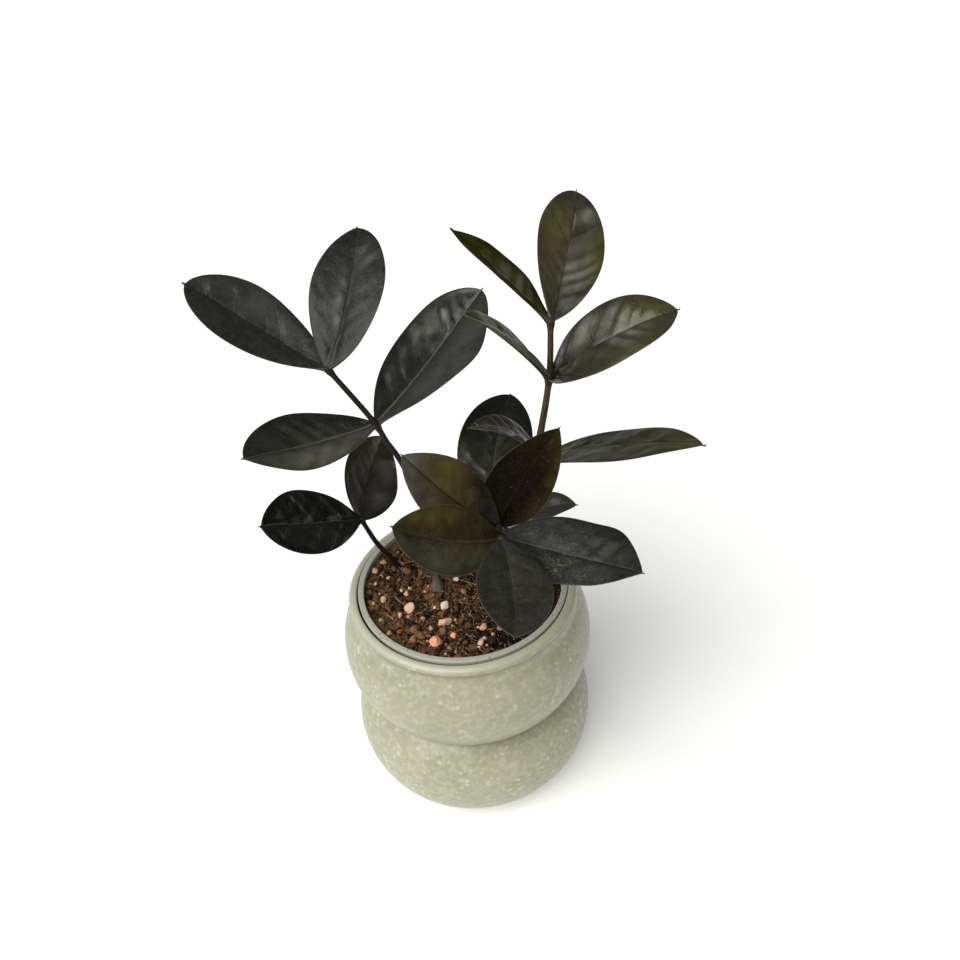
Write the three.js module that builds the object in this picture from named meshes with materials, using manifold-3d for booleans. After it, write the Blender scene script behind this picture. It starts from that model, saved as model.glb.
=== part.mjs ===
// A potted ZZ plant: four dark fronds in a thin nursery pot, which stands inside a glazed
// two-bulge cachepot. Millimetres, +Z up. The origin is the middle of the cachepot's foot,
// on the surface that the pot stands on, and -Y is the side that faces the viewer.
import * as THREE from 'three';
import { mergeVertices } from 'three/addons/utils/BufferGeometryUtils.js';
import Module from 'manifold-3d';

const wasm = await Module();
wasm.setup();

// ---------------------------------------------------------------- driving dimensions

const clearance = 0.3; // between pieces that rest on or in each other

const cachepot = {
  foot: 40.5, // radius of the flat foot
  floor: 6.5, // thickness of the bottom
  wall: 4.9,
  waistThinning: 1.2, // the inside's ovals are this much less high, which rounds its waist
  bulge: { centre: 36.2, reach: 19.8, halfHeight: 27.4 }, // one bulge's oval section
  lowerMiddle: 26.5, // height of the lower bulge's widest ring
  upperMiddle: 76,
  footAngle: -70, // where the lower oval meets the foot, in degrees from level
  lip: { inner: 46.95, outer: 50.8, height: 106, bead: 2.6, edge: 0.8 }, // a wide roll outside, a tight one inside
  groove: { radius: 49.35, height: 100.9, below: 4.9 }, // soft hollow under the lip, and the bulge's end under it
  sectors: 36,
};

const nursery = {
  rim: { inner: 43.4, outer: 46.6, height: 106.4, drop: 2.4, bevel: 0.5 },
  wall: 1.1,
  bottom: { radius: 32, thickness: 1.6, bevel: 1 },
  drain: { count: 6, radius: 3, ring: 20, sides: 12 },
  sectors: 36,
};

const soil = {
  height: 98, // mean height of its middle
  bank: { from: 16, rise: 4.2, extra: 1.4, towards: 155 }, // climbs to the wall, most behind on the left
  relief: 1.1, // height of its soft lumps
  levelEdge: 5, // the lumps fade out over this much of its edge
  rings: 11,
  sectors: 36,
  granules: {
    shown: [ // x, y and radius of the larger ones that show from the front
      [-12.9, -31.4, 2.7], [-8.8, -17.3, 2.5], [-8.6, -7.9, 2.3], [-24.2, -9.4, 2.3], [-5, -25.9, 2],
      [-35.7, 17, 1.8], [6.1, -31.8, 1.7], [-39, 11, 1.6], [0.2, -0.6, 1.6], [7.4, -21.2, 1.5],
      [-27.7, -13.3, 1.5], [-21.7, -28.7, 1.5], [-25.7, 0.1, 1.4], [-35.1, -6.1, 1.4],
      [-31.8, -25.7, 1.4], [-3, 8.2, 1.4], [14.8, -22.3, 1.4],
    ],
    others: 20,
    radius: [1.3, 2.4],
    sunk: 0.35, // share of the radius that the middle lies under the surface
    fromWall: 4,
    apart: 1.5, // from a stem or another granule
    seed: 11,
  },
};

const stem = {
  sunk: 17, // how deep a stem stands in its hole
  sides: 8,
  steps: 16,
  hole: { sides: 12, above: 6 }, // a hole's cutter reaches this far above the surface
};

const blade = {
  thickness: 0.8,
  fold: 12, // lift of each half from the midrib, in degrees
  stations: 11,
  petiole: 1.1, // half width where the blade leaves the stem
  tip: 0.35, // half width of the end
  roundness: 1.45, // sum of the two exponents of the outline
};

// A stem starts at its foot in the soil and runs through the points of its route. A leaflet
// gives the point of the route that it grows from, then its heading (anticlockwise from +X),
// its lift above level and its roll about its own length in degrees, its length and width,
// how far its midrib arches up and bows sideways at its middle, and the share of its length
// at which it is widest.
const fronds = {
  frond_left_short: {
    colour: 0x23262a,
    foot: [-27.3, 15],
    radius: [1.7, 1],
    route: [[-32.2, 14.8, 110], [-36.3, 13.5, 119], [-41, 12, 135]],
    leaflets: [
      [2, 219, 29, -42, 49, 28.8, -1.3, 0, 0.58],
      [2, 79.5, 11.5, 44, 48.8, 28, -0.9, 1.2, 0.45],
    ],
  },
  frond_left_tall: {
    colour: 0x34373a,
    foot: [-11.5, 4.2],
    radius: [2.5, 1.08],
    route: [[-12.4, 4, 138], [-18.9, -1, 173.5], [-23.2, -3, 185.7], [-25.8, -4, 194], [-38.6, -8, 221.4]],
    leaflets: [
      [3, 213.5, 11.3, -18, 51.2, 27.5, -5.3, -2.6, 0.54],
      [3, 47.8, 24, -1.5, 69.8, 37.4, -5.6, 3.2, 0.6],
      [4, 162, 32, -16.5, 55.5, 27.2, -3.5, -1.8, 0.59],
      [4, 74, 37, 3, 55.5, 27, 4, -3.5, 0.51],
    ],
  },
  frond_front: {
    colour: 0x3a3a30,
    foot: [11.6, 0.4],
    radius: [2.5, 1.2],
    route: [[15.8, 1, 134], [16.3, -11, 146], [16.8, -19, 151.5], [17, -36.2, 162.2], [17.1, -41, 165.5]],
    leaflets: [
      [0, 77, 33, 4, 61.5, 32.5, 2.5, 3.5, 0.55],
      [1, 2, 60, 78, 50.5, 25.5, 1.5, 2, 0.45],
      [2, 173.5, 47.3, -29, 49, 28.6, 1.8, 3.3, 0.49],
      [3, 205, 31, -54, 46, 25, 1, 3, 0.54],
      [3, 330, 4, 12, 53, 29.2, -5.6, 3, 0.47],
      [4, 271, 3, -11, 47, 26.5, -1.5, 2, 0.57],
    ],
  },
  frond_right_tall: {
    colour: 0x3b3a30,
    foot: [23, 3.5],
    radius: [2.8, 1.1],
    route: [[29.5, 9.7, 131], [35, 15, 159], [41, 17, 195], [42, 18, 219]],
    leaflets: [
      [0, 341, 28, 15, 24.5, 13.5, 3.5, -1, 0.51],
      [1, 326, 23, -9, 74, 34, 0.5, -4.2, 0.55],
      [1, 191, 39, -4, 34, 14, 5, -1, 0.5],
      [2, 208, 49, -7, 51.8, 23.3, 1.5, 0, 0.52],
      [2, 347, 34.5, 22.5, 56, 31.3, 6.4, -3.2, 0.56],
      [3, 130, 24, 28, 56.7, 26, 0.6, 2.6, 0.6],
      [3, 70, 35, 46, 56.5, 32.8, -5, -3, 0.64],
    ],
  },
};

// ---------------------------------------------------------------- helpers

const radians = THREE.MathUtils.degToRad;

function vector(x, y, z) {
  return new THREE.Vector3(x, y, z);
}

// Shared vertices are merged and the slivers that this leaves on an axis are dropped.
function weld(geometry) {
  const bare = new THREE.BufferGeometry();
  bare.setAttribute('position', geometry.getAttribute('position').clone());
  if (geometry.index) bare.setIndex(geometry.index.clone());
  const merged = mergeVertices(bare, 1e-4);
  const corners = merged.index.array;
  const kept = [];
  for (let i = 0; i < corners.length; i += 3) {
    const [a, b, c] = corners.slice(i, i + 3);
    if (a !== b && b !== c && c !== a) kept.push(a, b, c);
  }
  merged.setIndex(kept);
  return merged;
}

function toSolid(geometry) {
  const welded = weld(geometry);
  return new wasm.Manifold(new wasm.Mesh({
    numProp: 3,
    vertProperties: new Float32Array(welded.getAttribute('position').array),
    triVerts: new Uint32Array(welded.index.array),
  }));
}

function toGeometry(solid) {
  const mesh = solid.getMesh();
  const geometry = new THREE.BufferGeometry();
  geometry.setAttribute('position', new THREE.BufferAttribute(new Float32Array(mesh.vertProperties), 3));
  geometry.setIndex(Array.from(mesh.triVerts));
  geometry.computeVertexNormals();
  return geometry;
}

// Turns an outline of [radius, height] points about the Z axis.
function turn(outline, sectors) {
  const points = outline.map(([radius, height]) => new THREE.Vector2(radius, height));
  return new THREE.LatheGeometry(points, sectors).rotateX(Math.PI / 2);
}

// Points on an oval from one angle to another, in degrees from level.
function arc(centre, height, reach, halfHeight, from, to, pieces) {
  const curve = new THREE.EllipseCurve(
    centre, height, reach, halfHeight, radians(from), radians(to), to < from,
  );
  return curve.getPoints(pieces).map((point) => [point.x, point.y]);
}

// A repeatable stream of numbers from 0 to 1.
function randomStream(seed) {
  let state = seed;
  return () => {
    state = (state * 16807) % 2147483647;
    return state / 2147483647;
  };
}

function degreesAt(rise, halfHeight) {
  return THREE.MathUtils.radToDeg(Math.asin(rise / halfHeight));
}

// ---------------------------------------------------------------- cachepot

// Up the outside over both bulges, over the lip, and down the inside to the floor.
function cachepotGeometry() {
  const { foot, floor, wall, waistThinning, bulge, lowerMiddle, upperMiddle } = cachepot;
  const { footAngle, lip, groove } = cachepot;
  const crease = (upperMiddle - lowerMiddle) / 2;
  const out = degreesAt(crease, bulge.halfHeight);
  const grooveStart = degreesAt(groove.height - groove.below - upperMiddle, bulge.halfHeight);
  const innerReach = bulge.reach - wall;
  const innerHalf = bulge.halfHeight - waistThinning;
  const inside = degreesAt(crease, innerHalf);
  const innerTop = THREE.MathUtils.radToDeg(Math.acos((lip.inner - bulge.centre) / innerReach));
  const innerFoot = degreesAt(floor - lowerMiddle, innerHalf);
  const lipRoll = lip.outer - lip.inner - lip.edge;
  const outline = [
    [0, 0],
    [foot, 0],
    ...arc(bulge.centre, lowerMiddle, bulge.reach, bulge.halfHeight, footAngle, out, 8),
    ...arc(bulge.centre, upperMiddle, bulge.reach, bulge.halfHeight, -out, grooveStart, 7).slice(1),
    [groove.radius, groove.height],
    ...arc(lip.outer - lipRoll, lip.height - lip.bead, lipRoll, lip.bead, 0, 90, 4),
    ...arc(lip.inner + lip.edge, lip.height - lip.edge, lip.edge, lip.edge, 90, 180, 2).slice(1),
    ...arc(bulge.centre, upperMiddle, innerReach, innerHalf, innerTop, -inside, 5),
    ...arc(bulge.centre, lowerMiddle, innerReach, innerHalf, inside, innerFoot, 5).slice(1),
    [0, floor],
  ];
  return turn(outline, cachepot.sectors);
}

// ---------------------------------------------------------------- nursery pot

const nurseryBase = cachepot.floor + clearance;
const nurseryTop = nursery.rim.height - nursery.rim.drop;

// Outside radius of the tapered wall at a height.
function nurseryRadius(height) {
  const share = (height - nurseryBase) / (nurseryTop - nurseryBase);
  return THREE.MathUtils.lerp(nursery.bottom.radius, nursery.rim.inner + nursery.wall, share);
}

function nurseryGeometry() {
  const { rim, wall, bottom, drain, sectors } = nursery;
  const inFloor = nurseryBase + bottom.thickness;
  const outline = [
    [0, nurseryBase],
    [bottom.radius - bottom.bevel, nurseryBase],
    [nurseryRadius(nurseryBase + bottom.bevel), nurseryBase + bottom.bevel],
    [nurseryRadius(nurseryTop), nurseryTop],
    [rim.outer - rim.bevel, nurseryTop],
    [rim.outer, nurseryTop + rim.bevel],
    [rim.outer, rim.height - rim.bevel],
    [rim.outer - rim.bevel, rim.height],
    [rim.inner + rim.bevel, rim.height],
    [rim.inner, rim.height - rim.bevel],
    [rim.inner, nurseryTop],
    [nurseryRadius(inFloor) - wall, inFloor],
    [0, inFloor],
  ];
  let pot = toSolid(turn(outline, sectors));
  for (let i = 0; i < drain.count; i += 1) {
    const angle = (2 * Math.PI * i) / drain.count;
    const through = 4 * bottom.thickness;
    const hole = new THREE.CylinderGeometry(drain.radius, drain.radius, through, drain.sides);
    hole.rotateX(Math.PI / 2);
    hole.translate(drain.ring * Math.cos(angle), drain.ring * Math.sin(angle), nurseryBase);
    pot = pot.subtract(toSolid(hole));
  }
  return toGeometry(pot);
}

// ---------------------------------------------------------------- stems

function stemCurve(frond) {
  const foot = vector(...frond.foot, soil.height);
  const route = frond.route.map((point) => vector(...point));
  const lean = route[0].clone().sub(foot).normalize();
  const buried = foot.clone().addScaledVector(lean, -stem.sunk);
  const curve = new THREE.CatmullRomCurve3([buried, foot, ...route], false, 'centripetal');
  return { foot, lean, curve };
}

// A round bar is bent along the curve and thinned towards its top.
function stemGeometry(frond) {
  const { curve } = stemCurve(frond);
  const [thick, thin] = frond.radius;
  const bar = new THREE.CylinderGeometry(1, 1, 1, stem.sides, stem.steps);
  const corners = bar.getAttribute('position');
  const across = vector(1, 0, 0);
  for (let i = 0; i < corners.count; i += 1) {
    const share = THREE.MathUtils.clamp(corners.getY(i) + 0.5, 0, 1);
    const along = curve.getTangentAt(share);
    const side = across.clone().addScaledVector(along, -across.dot(along)).normalize();
    const front = side.clone().cross(along);
    const radius = thick + (thin - thick) * Math.sqrt(share);
    const point = curve.getPointAt(share)
      .addScaledVector(side, corners.getX(i) * radius)
      .addScaledVector(front, corners.getZ(i) * radius);
    corners.setXYZ(i, point.x, point.y, point.z);
  }
  return bar;
}

// ---------------------------------------------------------------- leaflets

// Half the blade's width at a share of its length, as a share of half its full width.
function outlineAt(share, belly) {
  const low = blade.roundness * belly;
  const high = blade.roundness - low;
  const peak = belly ** low * (1 - belly) ** high;
  return (share ** low * (1 - share) ** high) / peak;
}

// One leaflet is a thin folded blade: a grid on its upper face and the same grid on its
// lower face, split along the same diagonals and closed round the edge.
function leafletGeometry(base, [, heading, lift, roll, length, width, rise, bow, belly]) {
  const [turnAngle, liftAngle, rollAngle, fold] = [heading, lift, roll, blade.fold].map(radians);
  const ahead = vector(
    Math.cos(liftAngle) * Math.cos(turnAngle), Math.cos(liftAngle) * Math.sin(turnAngle), Math.sin(liftAngle),
  );
  const level = vector(-Math.sin(turnAngle), Math.cos(turnAngle), 0);
  const side = level.clone().applyAxisAngle(ahead, rollAngle);
  const up = ahead.clone().cross(side);
  const columns = [-1, -0.5, 0, 0.5, 1];
  const upper = [];
  const lower = [];
  for (let i = 0; i <= blade.stations; i += 1) {
    const share = (1 - Math.cos((Math.PI * i) / blade.stations)) / 2;
    const swell = 4 * share * (1 - share);
    const slope = 4 - 8 * share;
    const rib = base.clone()
      .addScaledVector(ahead, share * length)
      .addScaledVector(up, swell * rise)
      .addScaledVector(side, swell * bow);
    const along = ahead.clone().multiplyScalar(length)
      .addScaledVector(up, slope * rise)
      .addScaledVector(side, slope * bow)
      .normalize();
    const outward = up.clone().cross(along).normalize();
    const face = along.clone().cross(outward);
    const least = THREE.MathUtils.lerp(blade.petiole, blade.tip, share);
    const half = Math.max(least, (width / 2) * outlineAt(share, belly));
    for (const column of columns) {
      const point = rib.clone()
        .addScaledVector(outward, column * half * Math.cos(fold))
        .addScaledVector(face, Math.abs(column) * half * Math.sin(fold));
      upper.push(point.clone().addScaledVector(face, blade.thickness / 2));
      lower.push(point.clone().addScaledVector(face, -blade.thickness / 2));
    }
  }
  return closeGrids(upper, lower, columns.length);
}

function closeGrids(upper, lower, columns) {
  const rows = upper.length / columns;
  const last = columns - 1;
  const top = (row, column) => row * columns + column;
  const under = (row, column) => upper.length + top(row, column);
  const corners = [];
  for (let i = 0; i < rows - 1; i += 1) {
    for (let j = 0; j < last; j += 1) {
      corners.push(top(i, j), top(i + 1, j), top(i + 1, j + 1));
      corners.push(top(i, j), top(i + 1, j + 1), top(i, j + 1));
      corners.push(under(i, j), under(i + 1, j + 1), under(i + 1, j));
      corners.push(under(i, j), under(i, j + 1), under(i + 1, j + 1));
    }
    corners.push(top(i, 0), under(i, 0), under(i + 1, 0));
    corners.push(top(i, 0), under(i + 1, 0), top(i + 1, 0));
    corners.push(top(i, last), under(i + 1, last), under(i, last));
    corners.push(top(i, last), top(i + 1, last), under(i + 1, last));
  }
  for (let j = 0; j < last; j += 1) {
    const end = rows - 1;
    corners.push(top(0, j), top(0, j + 1), under(0, j + 1));
    corners.push(top(0, j), under(0, j + 1), under(0, j));
    corners.push(top(end, j), under(end, j + 1), top(end, j + 1));
    corners.push(top(end, j), under(end, j), under(end, j + 1));
  }
  const geometry = new THREE.BufferGeometry().setFromPoints([...upper, ...lower]);
  geometry.setIndex(corners);
  return geometry;
}

// A frond grew as one piece, so its stem and its leaflets are joined.
function frondGeometry(frond) {
  let whole = toSolid(stemGeometry(frond));
  for (const leaflet of frond.leaflets) {
    const base = vector(...frond.route[leaflet[0]]);
    whole = whole.add(toSolid(leafletGeometry(base, leaflet)));
  }
  return toGeometry(whole);
}

// ---------------------------------------------------------------- soil

const frondList = Object.values(fronds);
const soilBase = nurseryBase + nursery.bottom.thickness + clearance;

// Radius of the soil at a height, just inside the tapered wall.
function soilRadius(height) {
  return nurseryRadius(height) - nursery.wall - clearance;
}

// Height of the surface at a place: a level middle, a bank against the wall and soft lumps.
function surfaceAt(x, y) {
  const { height, bank, relief, levelEdge } = soil;
  const edge = soilRadius(height);
  const distance = Math.hypot(x, y);
  const climb = THREE.MathUtils.smoothstep(distance, bank.from, edge);
  const behind = Math.cos(Math.atan2(y, x) - radians(bank.towards));
  const long = Math.sin(x / 7.1 + 0.6) * Math.cos(y / 6.3 - 0.4);
  const short = Math.sin(x / 3.1 - y / 3.9 + 1.1) * Math.cos(y / 2.9 + x / 5.2);
  const lumps = relief * THREE.MathUtils.clamp((edge - distance) / levelEdge, 0, 1);
  return height + climb * (bank.rise + bank.extra * behind) + lumps * (0.6 * long + 0.4 * short);
}

function soilBody() {
  const edge = soilRadius(soil.height);
  const outline = [[0, soilBase], [soilRadius(soilBase), soilBase], [edge, soil.height]];
  for (let i = 1; i < soil.rings; i += 1) {
    outline.push([edge * (1 - i / soil.rings), soil.height]);
  }
  outline.push([0, soil.height]);
  const geometry = turn(outline, soil.sectors);
  const corners = geometry.getAttribute('position');
  for (let i = 0; i < corners.count; i += 1) {
    if (corners.getZ(i) < soil.height - soil.relief) continue;
    const [x, y] = [corners.getX(i), corners.getY(i)];
    const height = surfaceAt(x, y);
    const atWall = Math.hypot(x, y) > edge - clearance;
    const scale = atWall ? soilRadius(height) / edge : 1;
    corners.setXYZ(i, x * scale, y * scale, height);
  }
  return toSolid(geometry);
}

// Clay and perlite granules lie half sunk in the surface. The others are strewn over it,
// clear of the wall, of the stems and of the granules that are there already.
function granulePlaces() {
  const { shown, others, radius: [small, large], fromWall, apart, seed } = soil.granules;
  const random = randomStream(seed);
  const reach = nurseryRadius(soil.height) - nursery.wall - fromWall;
  const taken = frondList.map(({ foot, radius: [thick] }) => [...foot, thick]).concat(shown);
  const places = [...shown];
  while (places.length < shown.length + others) {
    const angle = 2 * Math.PI * random();
    const distance = reach * Math.sqrt(random());
    const radius = small + (large - small) * random() ** 2;
    const place = [distance * Math.cos(angle), distance * Math.sin(angle), radius];
    const clear = taken.every(([x, y, size]) => (
      Math.hypot(place[0] - x, place[1] - y) > size + radius + apart
    ));
    if (!clear) continue;
    places.push(place);
    taken.push(place);
  }
  return places;
}

function granuleSolids() {
  return granulePlaces().map(([x, y, radius], number) => {
    const granule = new THREE.IcosahedronGeometry(radius, 0);
    granule.rotateX(number).rotateZ(2 * number);
    granule.translate(x, y, surfaceAt(x, y) - soil.granules.sunk * radius);
    return toSolid(granule);
  });
}

// A stem stands in a plain round hole, a little wider and deeper than the stem.
function stemHole(frond) {
  const { foot, lean } = stemCurve(frond);
  const radius = frond.radius[0] + clearance;
  const length = stem.sunk + clearance + stem.hole.above;
  const hole = new THREE.CylinderGeometry(radius, radius, length, stem.hole.sides);
  hole.rotateX(Math.PI / 2);
  hole.translate(0, 0, length / 2 - stem.sunk - clearance);
  hole.applyQuaternion(new THREE.Quaternion().setFromUnitVectors(vector(0, 0, 1), lean));
  hole.translate(foot.x, foot.y, foot.z);
  return toSolid(hole);
}

function soilGeometry() {
  let ground = soilBody();
  for (const granule of granuleSolids()) ground = ground.add(granule);
  for (const frond of frondList) ground = ground.subtract(stemHole(frond));
  return toGeometry(ground);
}

// ---------------------------------------------------------------- the plant

function material(color, roughness) {
  return new THREE.MeshStandardMaterial({ color, roughness, metalness: 0 });
}

function place(name, geometry, finish) {
  const mesh = new THREE.Mesh(geometry, finish);
  mesh.name = name;
  return mesh;
}

const plant = new THREE.Group();
plant.add(place('cachepot', cachepotGeometry(), material(0xb4bda9, 0.35)));
plant.add(place('nursery_pot', nurseryGeometry(), material(0x6f716e, 0.6)));
plant.add(place('soil', soilGeometry(), material(0x3b2a20, 0.95)));
for (const [name, frond] of Object.entries(fronds)) {
  plant.add(place(name, frondGeometry(frond), material(frond.colour, 0.4)));
}

export default plant;
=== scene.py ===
import math
from types import SimpleNamespace

import bmesh
import bpy
import numpy as np
from mathutils import Matrix, Vector


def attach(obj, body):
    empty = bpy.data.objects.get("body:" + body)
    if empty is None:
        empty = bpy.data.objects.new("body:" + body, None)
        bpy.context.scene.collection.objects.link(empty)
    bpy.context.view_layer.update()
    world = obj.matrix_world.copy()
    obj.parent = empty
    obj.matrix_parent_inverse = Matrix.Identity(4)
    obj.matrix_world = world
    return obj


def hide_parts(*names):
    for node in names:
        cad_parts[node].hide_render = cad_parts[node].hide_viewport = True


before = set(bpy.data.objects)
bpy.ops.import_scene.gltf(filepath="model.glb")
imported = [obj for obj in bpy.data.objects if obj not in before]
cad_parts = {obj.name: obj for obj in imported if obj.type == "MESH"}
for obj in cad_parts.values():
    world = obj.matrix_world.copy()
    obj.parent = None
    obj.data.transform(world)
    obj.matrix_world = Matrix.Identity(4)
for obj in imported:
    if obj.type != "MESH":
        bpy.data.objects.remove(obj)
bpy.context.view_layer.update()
scene = bpy.context.scene

MM = 0.001
BODY = "root"


# ---------------------------------------------------------------- driving dimensions

CACHEPOT = SimpleNamespace(
    foot=40.5, floor=6.5, wall=4.9, waist_thinning=1.2,
    bulge_centre=36.2, bulge_reach=19.8, bulge_half_height=27.4,
    lower_middle=26.5, upper_middle=76.0, foot_angle=-70.0,
    lip_inner=46.95, lip_outer=50.8, lip_height=106.0, lip_bead=2.6, lip_edge=0.8,
    groove_radius=49.35, groove_height=100.9, groove_below=4.9,
    lip_lean=0.8, lean_turn=0.35, lean_spread=1.6, lean_drop=0.7,
    foot_ring=5.0, foot_recess=1.6, pool_line=1.1, pool_run=6.5, groove_pool=1.6,
    sectors=176,
)

NURSERY = SimpleNamespace(
    base=6.8, rim_inner=43.4, rim_outer=46.0, rim_height=106.4, rim_drop=2.4,
    rim_round=0.5, wall=1.1, bottom_radius=32.0, bottom_thickness=1.6, bottom_bevel=1.0,
    drain_count=6, drain_radius=3.0, drain_ring=20.0,
    sectors=180,
)

SOIL = SimpleNamespace(
    height=98.0, bank_from=16.0, bank_rise=4.2, bank_extra=1.4, bank_towards=155.0,
    relief=1.1, level_edge=5.0, gap=0.3, base=8.7, grain=0.7,
    hollow=(16.0, -29.0), hollow_reach=15.0, hollow_depth=2.2, damp=0.95, heap=0.7,
)

STEM = SimpleNamespace(
    sunk=17.0, sides=24, step=0.8, node_swell=0.55, node_length=2.3, bud=1.6,
    taper=0.5, flare=0.16, flare_length=5.0, bark_from=3.0, bark_to=16.0,
)

BLADE = SimpleNamespace(
    thickness=0.62, fold=12.0, roundness=1.45, stations=92, columns=21,
    cusp=1.1, cusp_width=0.5, petiolule=0.95, petiolule_length=4.5, stalk=0.62, stalk_length=3.2,
    veins_per_mm=0.125, vein_slant=0.85, quilting=1.35, dents=0.34, dent_sizes=(6.5, 3.2),
    flutter=0.035, droop=0.9, sway=0.25,
    crown=0.28, crown_width=0.75, groove=0.06, groove_width=0.55, keel=0.75, keel_width=1.0,
)

# A frond: its foot on the soil, its stem's radius at the foot and the top, how soon that tapers
# and how far the foot flares where they aren't as in STEM, the tones of its wax (dark, streaks
# and foot), and the route of its stem.
#
# A leaflet row: the point of the route that it grows from, heading, lift, roll, length, width,
# rise, bow and the share of its length at which it is widest.
#
# A leaflet's look: its deep colour, how glossy and how rough it is, the tint of its gloss
# ("shine"), how pale its rib, its side veins and its margin are (below 0 is darker than the
# blade), and how deep the quilting between its side veins is on either half. "flat" is how far
# the rib is raised towards the plane of the margins, from 0 to 1. Then come spots of a tint:
# each has a place along the leaflet from 0 to 1 and across it from -1 to 1, its reach each way,
# and its strength. The tint of painted highlight shows only between the side veins, "pale" is
# paler leaf in some spots and a painted highlight in others, and "dusty" is where dust and
# painted glints gather. "edge" widens the blade, but not at its tip: a place along it, the side
# of the rib (-1 or 1), its reach and its mm.
LEAF = dict(
    deep=(0.008, 0.008, 0.007), gloss=0.3, rough=0.3, rib=0.4, line=0.05, margin=0.45,
    quilt=(0.2, 0.2), pale=(), painted_highlight=(), olive=(), moss=(), gold=(), green=(), dark=(), dusty=(),
    edge=(), flat=0.0, shine=(1.0, 0.985, 0.84),
)

# Colours of the tints. One is a painted highlight, and "pale" is paler leaf in some spots and a painted
# highlight in others.
TINTS = dict(
    pale=(0.075, 0.075, 0.066), olive=(0.08, 0.06, 0.015), moss=(0.068, 0.067, 0.013),
    painted_highlight=(0.15, 0.147, 0.12), gold=(0.075, 0.042, 0.008), green=(0.03, 0.042, 0.006),
    dark=(0.003, 0.003, 0.0025),
)

COOL = (0.98, 1.0, 0.95)
NEAR_BLACK = (0.0025, 0.0025, 0.002)

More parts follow.
